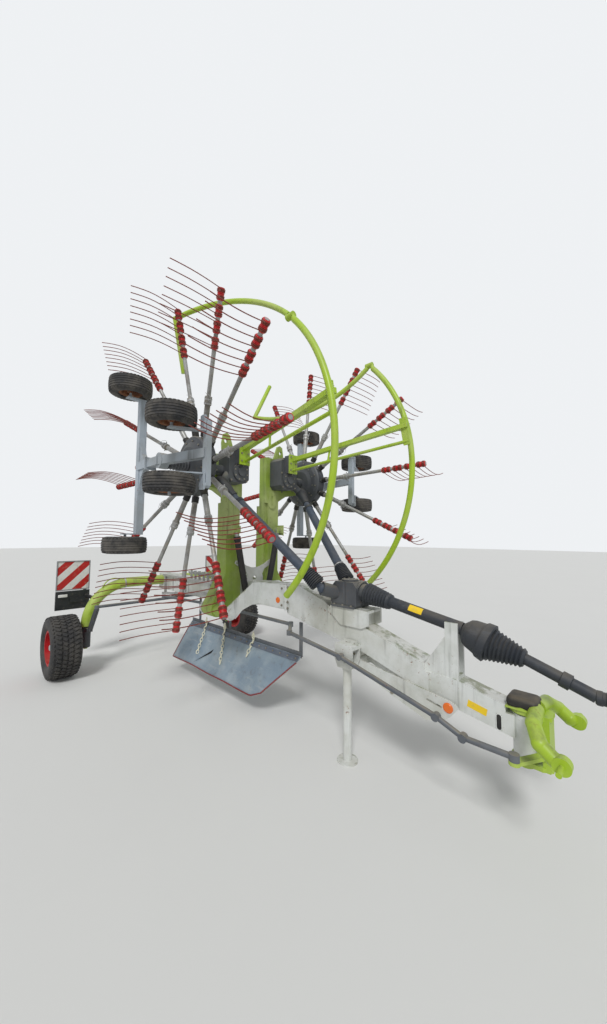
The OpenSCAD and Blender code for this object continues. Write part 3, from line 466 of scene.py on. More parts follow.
def join(bm, small, matrix=None, material=0):
    """Moves a small shape to its place and adds it to a bigger one."""
    for face in small.faces:
        face.material_index = material
    if matrix is not None:
        bmesh.ops.transform(small, matrix=matrix, verts=small.verts)
    mesh = bpy.data.meshes.new("part")
    small.to_mesh(mesh)
    small.free()
    bm.from_mesh(mesh)
    bpy.data.meshes.remove(mesh)


def stamp(bm, template, matrix):
    """Adds a copy of a mesh, moved by a matrix."""
    copy = template.copy()
    copy.transform(matrix)
    bm.from_mesh(copy)
    bpy.data.meshes.remove(copy)


def add_turned(bm, outline, place, direction, steps=48, material=0):
    """A body of revolution from (radius, distance) points, set on a place along a direction."""
    small = bmesh.new()
    points = [small.verts.new((radius, 0, along)) for radius, along in outline]
    edges = [small.edges.new(pair) for pair in zip(points, points[1:])]
    if outline[0][0] > 0.0 and outline[-1][0] > 0.0:
        edges.append(small.edges.new((points[-1], points[0])))
    bmesh.ops.spin(small, geom=points + edges, cent=(0, 0, 0), axis=(0, 0, 1),
                   angle=math.tau, steps=steps, use_merge=True)
    bmesh.ops.remove_doubles(small, verts=small.verts, dist=0.00001)
    bmesh.ops.recalc_face_normals(small, faces=small.faces)
    join(bm, small, Matrix.Translation(place) @ facing(direction), material)


def add_block(bm, place, size, turn=None, bevel=0.003, material=0, segments=2):
    """A block with eased edges."""
    small = bmesh.new()
    bmesh.ops.create_cube(small, size=1.0)
    bmesh.ops.scale(small, vec=size, verts=small.verts)
    if bevel:
        bmesh.ops.bevel(small, geom=list(small.edges), offset=bevel, affect="EDGES",
                        segments=segments, profile=0.5, material=-1)
    join(bm, small, Matrix.Translation(place) @ (turn or Matrix()), material)


def add_tube(bm, points, radius, sides=10, material=0):
    """A round tube swept along points, closed at both ends."""
    points = [Vector(point) for point in points]
    tangents = []
    for i in range(len(points)):
        before = points[max(0, i - 1)]
        after = points[min(len(points) - 1, i + 1)]
        tangents.append((after - before).normalized())
    small = bmesh.new()
    ring = bmesh.ops.create_circle(small, cap_ends=True, radius=radius, segments=sides)["verts"]
    bmesh.ops.transform(small, matrix=Matrix.Translation(points[0]) @ facing(tangents[0]), verts=ring)
    edges = list(small.edges)
    for i in range(1, len(points)):
        grown = bmesh.ops.extrude_edge_only(small, edges=edges)["geom"]
        verts = [item for item in grown if isinstance(item, bmesh.types.BMVert)]
        edges = [item for item in grown if isinstance(item, bmesh.types.BMEdge)
                 and all(vert in verts for vert in item.verts)]
        bend = tangents[i - 1].rotation_difference(tangents[i]).to_matrix().to_4x4()
        matrix = Matrix.Translation(points[i]) @ bend @ Matrix.Translation(-points[i - 1])
        bmesh.ops.transform(small, matrix=matrix, verts=verts)
    bmesh.ops.holes_fill(small, edges=edges, sides=sides)
    bmesh.ops.recalc_face_normals(small, faces=small.faces)
    join(bm, small, None, material)


def add_bolt(bm, place, direction, size=0.012, material=0):
    """A hexagon head on its washer."""
    outline = [(0, 0), (size * 1.25, 0), (size * 1.25, size * 0.22), (0, size * 0.22)]
    add_turned(bm, outline, place, direction, 12, material)
    small = bmesh.new()
    bmesh.ops.create_cone(small, cap_ends=True, segments=6, radius1=size, radius2=size * 0.96,
                          depth=size * 0.8)
    lift = Matrix.Translation((0, 0, size * 0.61))
    join(bm, small, Matrix.Translation(place) @ facing(direction) @ lift, material)


def add_bolts(bm, places, direction, size):
    """A bolt at each of several places, all facing one way."""
    for place in places:
        add_bolt(bm, place, direction, size)


def as_template(bm):
    """A mesh that is stamped several times."""
    mesh = bpy.data.meshes.new("template")
    bm.to_mesh(mesh)
    bm.free()
    return mesh


def mirror_y(bm, side):
    """Turns a left-hand shape into the right-hand one."""
    if side < 0:
        bmesh.ops.scale(bm, vec=(1, -1, 1), verts=bm.verts)
        bmesh.ops.reverse_faces(bm, faces=bm.faces)


def add_coil(bm, place, along, radius, wire, direction):
    """One turn of spring wire round a holder."""
    sides = 6
    small = bmesh.new()
    points = []
    for i in range(sides):
        angle = i * math.tau / sides
        points.append(small.verts.new((radius + wire * math.cos(angle), 0,
                                       along + wire * math.sin(angle))))
    edges = [small.edges.new((points[i - 1], points[i])) for i in range(sides)]
    bmesh.ops.spin(small, geom=points + edges, cent=(0, 0, 0), axis=(0, 0, 1), angle=math.tau,
                   steps=14, use_merge=True)
    bmesh.ops.recalc_face_normals(small, faces=small.faces)
    join(bm, small, Matrix.Translation(place) @ facing(direction), 1)


def oval(centre, half_wide, half_straight, steps=8):
    """Points round an upright slot in the XZ plane."""
    points = []
    for end in (1, -1):
        for i in range(steps + 1):
            angle = math.pi * i / steps + (0 if end > 0 else math.pi)
            points.append(centre + Vector((half_wide * math.cos(angle), 0,
                                           half_wide * math.sin(angle) + end * half_straight)))
    return points + points[:1]


def add_patch(bm, place, direction, radius, length, start, end, material=0):
    """A thin label bent round a tube, between two angles."""
    small = bmesh.new()
    half = length / 2
    points = []
    for r, z in ((radius, -half), (radius, half), (radius + 0.001, half), (radius + 0.001, -half)):
        points.append(small.verts.new((r, 0, z)))
    edges = [small.edges.new((points[i - 1], points[i])) for i in range(4)]
    first = Matrix.Rotation(math.radians(start), 3, "Z")
    bmesh.ops.rotate(small, cent=(0, 0, 0), matrix=first, verts=points)
    bmesh.ops.spin(small, geom=points + edges, cent=(0, 0, 0), axis=(0, 0, 1),
                   angle=math.radians(end - start), steps=10)
    bmesh.ops.holes_fill(small, edges=[edge for edge in small.edges if edge.is_boundary],
                         sides=4)
    bmesh.ops.recalc_face_normals(small, faces=small.faces)
    join(bm, small, Matrix.Translation(place) @ facing(direction, UP), material)


# Places that several pieces share
DRIVE_ROOT = at(3430, 200, 1365)
DRIVE_EYE = at(2395, 585, 2362)
SHAFT_BACK = at(3770, 0, 1340)
SHAFT_FRONT = at(4562, 0, 1183)
BEAM_HALF = 102.2
# A tine arm leaves the drum at this radius and distance out, and rises away from the machine
ARM_START = 0.300
ARM_OUT = 0.800
ARM_RISE = math.tan(math.radians(9))
ARM_ALONG = Vector((1, ARM_RISE, 0)).normalized()
FIRST_ARM = -3


def on_arm(reach):
    """A point on a tine arm's axis, in the arm's own frame."""
    return Vector((reach, ARM_OUT + (reach - ARM_START) * ARM_RISE, 0))


def arm_matrix(axle, angle):
    """The frame of one tine arm, drawn for the left rotor."""
    # The rotor's own XY plane lies upright with its Z along the machine's Y
    turn = Matrix.Rotation(math.radians(-90), 4, "X") @ Matrix.Rotation(angle, 4, "Z")
    swap = Matrix(((1, 0, 0, 0), (0, 0, 1, 0), (0, 1, 0, 0), (0, 0, 0, 1)))
    return Matrix.Translation((axle.x, 0, axle.z)) @ turn @ swap


def on_every_arm(template, name, side, arms):
    """A rotor's shape with a template on each of its tine arms."""
    bm = bmesh.new()
    axle = middle("drum_" + name)
    for arm in range(arms):
        angle = math.radians(arm * 360 / arms + FIRST_ARM)
        stamp(bm, template, arm_matrix(axle, angle))
    mirror_y(bm, side)
    return bm


def down_and_out(reach, drop):
    """Directions down the slanted curtain and out of its face."""
    return Vector((0, -reach, -drop)).normalized(), Vector((0, -drop, reach)).normalized()


def flipped(outline):
    """An outline's other half, mirrored across the wheel's middle."""
    return [(radius, -along) for radius, along in reversed(outline)]


# Settings


class RakeSizes(bpy.types.PropertyGroup):
    """Sizes that a user may change."""

    tine_wire: FloatProperty(name="Tine wire", description="Thickness of a tine's wire",
                             default=0.008, unit="LENGTH")
    tread_blocks: IntProperty(name="Tread blocks", description="Blocks round a road tyre",
                              default=44, min=12)
    chain_link: FloatProperty(name="Chain link", description="Length of a curtain chain's link",
                              default=0.052, unit="LENGTH")
    tine_arms: IntProperty(name="Tine arms", description="Arms on a rotor", default=12)
    double_tines: IntProperty(name="Double tines", description="Double tines on an arm",
                              default=4)
    sun_strength: FloatProperty(name="Sun strength", description="Strength of the soft sun",
                                default=1.7)
    sky_strength: FloatProperty(name="Sky strength", description="Strength of the even light",
                                default=0.5)


class RakeColours(bpy.types.PropertyGroup):
    """Colours that a user may change."""

    beam_white: FloatVectorProperty(name="Beam white", description="Paint of the main beam",
                                    subtype="COLOR", default=linear(0.86, 0.87, 0.86))
    lime: FloatVectorProperty(name="Lime", description="Paint of the hoops, axle and headstock",
                              subtype="COLOR", default=linear(0.64, 0.76, 0.16))
    floor: FloatVectorProperty(name="Floor", description="Colour of the pale floor",
                               subtype="COLOR", default=linear(0.87, 0.87, 0.86))


class RakeOperator(bpy.types.Operator):
    """Base of the pieces' operators."""

    bl_options = {"REGISTER", "UNDO"}

    def execute(self, context):
        self.make(context.scene.rake_sizes, context.scene.rake_colours)
        return {"FINISHED"}


class RAKE_OT_stage(RakeOperator):
    """Floor, lights and the camera at the picture's angle"""

    bl_idname = "rake.stage"
    bl_label = "Stage"

    def make(self, sizes, colours):
        scene = bpy.context.scene
        self.camera(scene)
        bm = bmesh.new()
        bmesh.ops.create_grid(bm, x_segments=4, y_segments=4, size=60)
        mesh = bpy.data.meshes.new("floor")
        bm.to_mesh(mesh)
        bm.free()
        p = Paint("pale_floor")
        tone = p.noise(0.8, 4)
        floor_colour = tuple(colours.floor)
        deep = tuple(part * 0.93 for part in floor_colour)
        mesh.materials.append(p.finish(p.mix(tone * 0.5, floor_colour, deep), 0.9))
        floor = bpy.data.objects.new("floor", mesh)
        scene.collection.objects.link(floor)
        lamp = bpy.data.lights.new("soft_sun", "SUN")
        lamp.energy = sizes.sun_strength
        lamp.angle = math.radians(14)
        sun = bpy.data.objects.new("soft_sun", lamp)
        sun.rotation_euler = (math.radians(42), math.radians(8), math.radians(28))
        scene.collection.objects.link(sun)
        self.sky(scene, sizes.sky_strength)
        scene.view_settings.view_transform = "Standard"

    def camera(self, scene):
        """The fitted camera: its place, its three angles and its focal length."""
        place = Vector((5.504 - MID_X, -2.588, 1.820))
        focal_pixels, frame_pixels, film = 352.1, 1024, 36.0
        yaw, pitch, roll = (math.radians(angle) for angle in (134.01, 4.04, 0.33))
        level = math.cos(pitch)
        ahead = Vector((level * math.cos(yaw), level * math.sin(yaw), math.sin(pitch)))
        right = Vector((math.sin(yaw), -math.cos(yaw), 0))
        over = right.cross(ahead)
        right = math.cos(roll) * right + math.sin(roll) * over
        over = right.cross(ahead)
        data = bpy.data.cameras.new("camera")
        data.sensor_width = film
        data.sensor_height = film
        data.sensor_fit = "VERTICAL"
        data.lens = focal_pixels / frame_pixels * film
        data.clip_start = 0.05
        data.clip_end = 300
        camera = bpy.data.objects.new("camera", data)
        turn = Matrix((right, over, -ahead)).transposed().to_4x4()
        camera.matrix_world = Matrix.Translation(place) @ turn
        scene.collection.objects.link(camera)
        scene.camera = camera

    def sky(self, scene, strength):
        """Even light, which the camera and mirrors see as a pale backdrop."""
        world = bpy.data.worlds.new("soft_sky")
        world.use_nodes = True
        tree = world.node_tree
        tree.nodes.clear()

        def node(kind, values, **settings):
            made = tree.nodes.new(kind)
            for key, value in settings.items():
                setattr(made, key, value)
            for socket, value in values.items():
                if isinstance(value, bpy.types.NodeSocket):
                    tree.links.new(value, made.inputs[socket])
                else:
                    made.inputs[socket].default_value = value
            return made.outputs

        ray = node("ShaderNodeLightPath", {})
        straight = node("ShaderNodeMath", {0: ray["Is Camera Ray"], 1: ray["Is Glossy Ray"]},
                        operation="ADD")
        seen = node("ShaderNodeMath", {0: straight[0], 1: ray["Is Transmission Ray"]},
                    operation="ADD", use_clamp=True)
        light = node("ShaderNodeBackground", {"Color": (0.96, 0.98, 1.0, 1), "Strength": strength})
        pale = node("ShaderNodeBackground", {"Color": (0.86, 0.88, 0.90, 1), "Strength": 1.0})
        mix = node("ShaderNodeMixShader", {0: seen[0], 1: light[0], 2: pale[0]})
        node("ShaderNodeOutputWorld", {"Surface": mix[0]})
        scene.world = world


class RAKE_OT_finishes(RakeOperator):
    """Materials of every frame part"""

    bl_idname = "rake.finishes"
    bl_label = "Finishes"

    def make(self, sizes, colours):
        make_finishes(colours)
        by_stem = {}
        for stems, finish in NODE_FINISHES:
            by_stem.update(dict.fromkeys(stems, finish))
        for name, node in frame["nodes"].items():
            finish = FINISHES[by_stem[stem(name)]]
            if not node.material_slots:
                node.data.materials.append(finish)
            for slot in node.material_slots:
                slot.material = finish


class RAKE_OT_tines(RakeOperator):
    """Double spring tines in their red ribbed holders"""

    bl_idname = "rake.tines"
    bl_label = "Tines"

    def make(self, sizes, colours):
        wire = sizes.tine_wire / 2
        holder_half = 0.050
        arm_tip, pitch = 1.605, 0.130
        tine_tip, bend_at = 1.481, 0.62
        # Ribbed holder round the arm, along local X
        outline = [(0.0215, -holder_half), (0.027, -holder_half)]
        for i in range(8):
            start = -0.048 + i * 0.0122
            outline += [(0.0265, start), (0.0315, start + 0.0025), (0.0315, start + 0.0075),
                        (0.0265, start + 0.0100)]
        outline += [(0.027, holder_half), (0.0215, holder_half)]
        template = bmesh.new()
        for k in range(sizes.double_tines):
            reach = arm_tip - holder_half - pitch * k
            place = on_arm(reach)
            add_turned(template, outline, place, ARM_ALONG, 16, 0)
            for s in (-1, 1):
                for turn in (0.018, 0.027, 0.036):
                    add_coil(template, place, s * turn, 0.0325, wire, ARM_ALONG)
                # Bent wire from the holder out to its tip
                path = []
                for step in range(10):
                    t = step / 9
                    swing = 0.026 + 0.052 * math.sin(min(1.0, t / bend_at) * math.pi / 2)
                    swing -= 0.038 * max(0.0, (t - bend_at) / (1 - bend_at)) ** 1.6
                    path.append((reach + s * 0.034, place.y + t * (tine_tip - place.y), swing))
                add_tube(template, path, wire, 6, 1)
        arm_mesh = as_template(template)
        for name, side in SIDES:
            bm = on_every_arm(arm_mesh, name, side, sizes.tine_arms)
            new_piece("tines_and_holders_" + name, bm, ("coil", "wire"), body_of("tines_" + name),
                      ("tines_" + name,), 40, weld=False)
        bpy.data.meshes.remove(arm_mesh)


class RAKE_OT_rotor_wheels(RakeOperator):
    """Ribbed tyres on rusty rims for the rotor carriages"""

    bl_idname = "rake.rotor_wheels"
    bl_label = "Rotor wheels"

    def make(self, sizes, colours):
        bm = bmesh.new()
        half = 0.0825
        wall = [(0.112, -half + 0.022), (0.118, -half + 0.006), (0.135, -half + 0.001),
                (0.158, -half), (0.178, -half + 0.005), (0.190, -half + 0.014),
                (0.196, -half + 0.024)]
        tread = []
        # Ribs across the tread with grooves between them
        for centre in (-0.045, -0.0225, 0.0, 0.0225, 0.045):
            crown = 0.205 - 1.44 * centre * centre
            tread += [(crown - 0.006, centre - 0.0098), (crown, centre - 0.0085),
                      (crown, centre + 0.0085), (crown - 0.006, centre + 0.0098)]
        seat = [(0.104, half - 0.030), (0.104, -half + 0.030)]
        add_turned(bm, wall + tread + flipped(wall) + seat, (0, 0, 0), UP, 64, 0)
        shoulder_blocks = 36
        for i in range(shoulder_blocks):
            turn = Matrix.Rotation(i * math.tau / shoulder_blocks, 4, "Z")
            for s in (-1, 1):
                place = turn @ Vector((0.1885, 0, s * (half - 0.0155)))
                add_block(bm, place, (0.016, 0.018, 0.012),
                          turn @ Matrix.Rotation(s * math.radians(38), 4, "Y"), 0.0, 0)
        rim = [(0.0275, -0.050), (0.034, -0.050), (0.036, -0.020), (0.070, -0.014), (0.078, -0.030),
               (0.084, -0.052), (0.094, -0.062), (0.108, -0.064), (0.113, -0.060), (0.110, -0.055),
               (0.103, -0.050), (0.103, 0.050), (0.110, 0.055), (0.113, 0.060), (0.108, 0.064),
               (0.094, 0.062), (0.084, 0.052), (0.078, 0.010), (0.070, 0.0), (0.036, 0.004),
               (0.034, 0.050), (0.0275, 0.050)]
        add_turned(bm, [(r - 0.0005, t) for r, t in rim], (0, 0, 0), UP, 40, 1)
        cap = [(0, 0.060), (0.018, 0.059), (0.026, 0.052), (0.029, 0.046), (0.029, 0.036), (0, 0.036)]
        add_turned(bm, cap, (0, 0, 0), UP, 24, 1)
        add_turned(bm, [(r, -t) for r, t in cap], (0, 0, 0), UP, 24, 1)
        for i in range(5):
            angle = i * math.tau / 5
            spot = Vector((0.053 * math.cos(angle), 0.053 * math.sin(angle), 0))
            add_bolt(bm, spot + Vector((0, 0, 0.002)), UP, 0.008, 1)
            add_bolt(bm, spot - Vector((0, 0, 0.017)), -UP, 0.008, 1)
        wheel = as_template(bm)
        nodes = [f"{kind}_{height}_{name}" for kind in ("back_wheel", "castor_wheel")
                 for height in ("low", "high") for name, _ in SIDES]
        for node in nodes:
            bm = bmesh.new()
            stamp(bm, wheel, Matrix.Translation(middle(node)))
            new_piece("tyre_and_rim_" + node, bm, ("tyre", "rim"), body_of(node), (node,), 38)
        bpy.data.meshes.remove(wheel)


class RAKE_OT_road_wheels(RakeOperator):
    """Road tyres with block tread and the red rims' nuts and caps"""

    bl_idname = "rake.road_wheels"
    bl_label = "Road wheels"

    def make(self, sizes, colours):
        half = 0.170
        # One side of the tyre, from its bead over the shoulder to the middle groove
        profile = [(0.2202, -0.140), (0.245, -0.162), (0.280, -half), (0.315, -half + 0.001),
                   (0.345, -0.162), (0.362, -0.146), (0.371, -0.128), (0.3745, -0.088),
                   (0.3755, -0.066), (0.3705, -0.062), (0.3705, -0.056), (0.3760, -0.052),
                   (0.3765, -0.006), (0.3715, -0.004)]
        # Rows of blocks: place across the tread, length across, set half a pitch on, slant
        rows = ((-0.094, 0.052, 0, 28), (-0.030, 0.046, 1, 28), (0.030, 0.046, 0, -28),
                (0.094, 0.052, 1, -28))
        count = sizes.tread_blocks
        for name, side in SIDES:
            centre = middle("rear_tyre_" + name)
            bm = bmesh.new()
            add_turned(bm, profile + flipped(profile), (0, 0, 0), UP, 96, 0)
            for i in range(count):
                turn = Matrix.Rotation(i * math.tau / count, 4, "Z")
                for z, long, shift, lean in rows:
                    lag = turn @ Matrix.Rotation(shift * math.pi / count, 4, "Z")
                    slant = Matrix.Rotation(math.radians(lean), 4, "X")
                    add_block(bm, lag @ Vector((0.3795, 0, z)), (0.018, 0.034, long), lag @ slant,
                              0.002, 0, 1)
                for s in (-1, 1):
                    place = turn @ Vector((0.3665, 0, s * 0.140))
                    add_block(bm, place, (0.014, 0.022, 0.030),
                              turn @ Matrix.Rotation(s * math.radians(48), 4, "Y"), 0.002, 0, 1)
            whole = Matrix.Translation(centre) @ Matrix.Rotation(math.radians(90), 4, "X")
            bmesh.ops.transform(bm, matrix=whole, verts=bm.verts)
            new_piece("road_tyre_" + name, bm, "road_tyre", body_of("rear_tyre_" + name),
                      ("rear_tyre_" + name,), 38)
            bm = bmesh.new()
            out = Vector((0, side, 0))
            face = centre + out * 0.042
            for i in range(6):
                angle = i * math.tau / 6 + 0.2
                spot = face + Vector((math.cos(angle), 0, math.sin(angle))) * 0.098
                add_bolt(bm, spot, out, 0.013, 0)
            cap = [(0, 0.060), (0.026, 0.059), (0.036, 0.052), (0.040, 0.040), (0.040, 0.0), (0, 0.0)]
            add_turned(bm, cap, centre + out * 0.070, out, 32, 0)
            valve = [centre + out * 0.06 + Vector((0.17, 0, 0)),
                     centre + out * 0.10 + Vector((0.16, 0, 0))]
            add_tube(bm, valve, 0.006, 8, 1)
            new_piece("road_wheel_trim_" + name, bm, ("steel", "black"),
                      body_of("rear_rim_" + name))


class RAKE_OT_drive_covers(RakeOperator):
    """Ribbed bellows and boots at the ends of the rotor drive shafts"""

    bl_idname = "rake.drive_covers"
    bl_label = "Drive covers"

    def make(self, sizes, colours):
        along = (DRIVE_EYE - DRIVE_ROOT).normalized()
        # The tube's far end, measured from its ball
        end = (DRIVE_EYE - DRIVE_ROOT).length - 0.300
        for name, side in SIDES:
            bm = bmesh.new()
            outline = [(0.030, 0.052), (0.070, 0.052)]
            for i in range(9):
                start = 0.058 + i * 0.019
                big = 0.076 - 0.0016 * i
                outline += [(big - 0.011, start), (big, start + 0.006), (big, start + 0.011)]
            outline += [(0.052, 0.232), (0.052, 0.262), (0.0465, 0.266), (0.0465, 0.235),
                        (0.030, 0.230)]
            add_turned(bm, outline, DRIVE_ROOT, along, 40, 0)
            # Clamp band
            add_turned(bm, [(0.0525, 0.240), (0.0545, 0.240), (0.0545, 0.252), (0.0525, 0.252)],
                       DRIVE_ROOT, along, 40, 1)
            add_turned(bm, [(0.0355, end - 0.012), (0.050, end - 0.012), (0.053, end - 0.004),
                            (0.053, end + 0.018), (0.044, end + 0.030), (0.0355, end + 0.030)],
                       DRIVE_ROOT, along, 40, 0)
            mirror_y(bm, side)
            new_piece("shaft_bellows_" + name, bm, ("guard", "steel"), body_of("drive_tube_" + name))
            bm = bmesh.new()
            boot = [(0.036, -0.205), (0.043, -0.205), (0.047, -0.150), (0.056, -0.110), (0.064, -0.060),
                    (0.068, -0.010), (0.066, 0.030), (0.055, 0.062), (0.036, 0.082), (0.0, 0.090)]
            inner = [(0.0, 0.080), (0.030, 0.072), (0.0455, 0.052), (0.0455, -0.038), (0.036, -0.046)]
            add_turned(bm, boot + inner, DRIVE_EYE, along, 40, 0)
            mirror_y(bm, side)
            new_piece("shaft_boot_" + name, bm, "guard", body_of("drive_sleeve_" + name))


class RAKE_OT_curtain(RakeOperator):
    """Coated sheet curtain with its hem, top screws and chains"""

    bl_idname = "rake.curtain"
    bl_label = "Curtain"

    def make(self, sizes, colours):
        low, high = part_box("curtain")
        top_y = high.y - 0.0035
        width = high.x - low.x
        drop = high.z - low.z
        reach = (high.y - low.y) - 0.006
        slope = math.hypot(drop, reach)
        bm = bmesh.new()
        across, down = 72, 18
        # The front lower corner is cut away over these lengths from the front
        corner, corner_start = 0.330, 0.460
        bmesh.ops.create_grid(bm, x_segments=across, y_segments=down, size=0.5)
        random.seed(4)
        waves = [(random.uniform(2, 9), random.uniform(0, 6), random.uniform(0.3, 1))
                 for _ in range(5)]
        self.cut_slit(bm)
        for vert in bm.verts:
            u, v = vert.co.x + 0.5, 0.5 - vert.co.y
            x = u * width
            limit = slope
            ahead = width - x
            if ahead < corner:
                limit = slope - 0.064 - (corner - ahead) / corner * (slope - 0.100)
            elif ahead < corner_start:
                limit = slope - (corner_start - ahead) / (corner_start - corner) * 0.060
            s = v * limit
            sway = 0.0
            for rate, phase, size in waves:
                sway += size * math.sin(rate * x + phase + 2.2 * v)
            # It bulges a little and lies in long shallow waves, free at its lower edge
            lift = 0.0035 * sway * v * v + 0.006 * math.sin(math.pi * v)
            y = top_y - s / slope * reach - lift * drop / slope - 0.002
            z = high.z - s / slope * drop + 0.004 * v - lift * reach / slope
            vert.co = Vector((low.x + x, min(y, high.y - 0.003), max(z, low.z + 0.002)))
        sheet = new_piece("curtain_sheet", bm, "sheet", "chassis", ("curtain",), 180, weld=False)
        solid = sheet.modifiers.new("thickness", "SOLIDIFY")
        solid.thickness = 0.004
        solid.offset = 0
        hem = self.hem(sheet)
        self.chains(sizes.chain_link, high, reach, drop)
        self.clamp_and_tear_shade(low, high, reach, drop)

    def cut_slit(self, bm):
        """Opens the slanted tear in the flat sheet."""
        tips = [Vector((-0.137, 0.035, 0)), Vector((-0.264, -0.409, 0)), Vector((-0.143, -0.071, 0))]
        for i in range(3):
            along = tips[i] - tips[i - 1]
            near = [face for face in bm.faces if -0.30 < face.calc_center_median().x < -0.11
                    and -0.46 < face.calc_center_median().y < 0.09]
            parts = {item for face in near for item in (*face.verts, *face.edges)} | set(near)
            bmesh.ops.bisect_plane(bm, geom=list(parts), dist=0.00001, plane_co=tips[i],
                                   plane_no=along.cross(UP).normalized())
        inside = []
        for face in bm.faces:
            centre = face.calc_center_median()
            turns = []
            for i in range(3):
                turns.append((tips[i] - tips[i - 1]).cross(centre - tips[i - 1]).z > 0)
            if len(set(turns)) == 1:
                inside.append(face)
        bmesh.ops.delete(bm, geom=inside, context="FACES")

    def clamp_and_tear_shade(self, low, high, reach, drop):
        """Bolted band along the sheet's top, and a black plate behind its tear: painted shade for the
        dark seen through the tear.
        """
        slope, normal = down_and_out(reach, drop)
        turn = facing(normal, slope)
        top = Vector(((low.x + high.x) / 2, high.y - 0.006, high.z - 0.002))
        band = top + slope * 0.032
        bolts, bolt_pitch = 19, 0.1144
        bm = bmesh.new()
        size = (high.x - low.x - 0.030, 0.056, 0.004)
        add_block(bm, band + normal * 0.009, size, turn, 0.0012, 0, 1)
        for i in range(bolts):
            place = band + normal * 0.0112 + Vector((-1.03 + i * bolt_pitch, 0, 0))
            add_bolt(bm, place, normal, 0.008, 1)
        new_piece("curtain_clamp", bm, ("clamp", "bolt"), "chassis")
        bm = bmesh.new()
        # Painted shade: a black plate just behind the tear makes the opening read dark
        # The tear runs back and down
        place = Vector((1.470 - MID_X, top.y, top.z)) + slope * 0.348 - normal * 0.020
        lean = Matrix.Rotation(math.atan2(0.234, 0.284), 4, "Z")
        add_block(bm, place, (0.366, 0.072, 0.003), turn @ lean, 0.001, 0, 1)
        new_piece("tear_painted_shade", bm, "black", "chassis")

    def area(self, sheet):
        return sum(polygon.area for polygon in sheet.data.polygons)

    def hem(self, sheet):
        """A bound edge along the back, lower and front edges."""
        bm = bmesh.new()
        bm.from_mesh(sheet.data)
        heights = [vert.co.z for vert in bm.verts]
        widths = [vert.co.x for vert in bm.verts]
        low, high = min(heights), max(heights)
        left, right = min(widths), max(widths)
        spots = set()
        for edge in bm.edges:
            a, b = (vert.co for vert in edge.verts)
            mid = (a + b) / 2
            torn = 0.45 < mid.x - left < 0.85 and mid.z > low + 0.03
            if edge.is_boundary and not torn and max(a.z, b.z) < high - 0.03:
                spots.update(tuple(round(value, 5) for value in point) for point in (a, b))
        bm.free()
        points = sorted(spots)
        line = sorted((p for p in points if p[0] - left < 1e-4), key=lambda p: -p[2])
        line += [p for p in points if left + 1e-4 <= p[0] <= right - 1e-4]
        line += sorted((p for p in points if right - p[0] < 1e-4), key=lambda p: p[2])
        kept = [Vector(line[0])]
        for point in line[1:]:
            if (Vector(point) - kept[-1]).length > 0.008:
                kept.append(Vector(point))
        bm = bmesh.new()
        add_tube(bm, kept, 0.0075, 8, 0)
        return new_piece("curtain_hem", bm, "hem", "chassis", (), 60)

    def chains(self, length, high, reach, drop):
        """Pale chains that hang over the strip and down the sheet."""
        bm = bmesh.new()
        link = bmesh.new()
        ring = []
        for i in range(13):
            angle = i * math.tau / 12
            ring.append((math.cos(angle) * length * 0.30, 0, math.sin(angle) * length * 0.5))
        add_tube(link, ring, length * 0.10, 6, 0)
        template = as_template(link)
        slope, normal = down_and_out(reach, drop)
        for x, ahead, run in ((1.232, 0.12, 0.408), (1.665, 0.24, 0.429), (2.242, 0.0, 0.230)):
            start = Vector((x - MID_X, high.y - 0.014, high.z - 0.004)) + normal * 0.010
            down = (slope * run + Vector((ahead, 0, 0))).normalized()
            count = int(run / (length * 0.74))
            spots = [start + Vector((0, 0.003, 0.026 * (3 - i))) for i in range(3)]
            spots += [start + down * (i * length * 0.74) for i in range(count)]
            for i, place in enumerate(spots):
                way = UP if i < 3 else down
                roll = Matrix.Rotation((i % 2) * math.pi / 2.2 + 0.6, 4, "Z")
                turn = facing(way, Vector((1, 0, 0))) @ roll
                stamp(bm, template, Matrix.Translation(place) @ turn)
        bpy.data.meshes.remove(template)
        new_piece("curtain_chains", bm, "chain", "chassis", (), 60, weld=False)


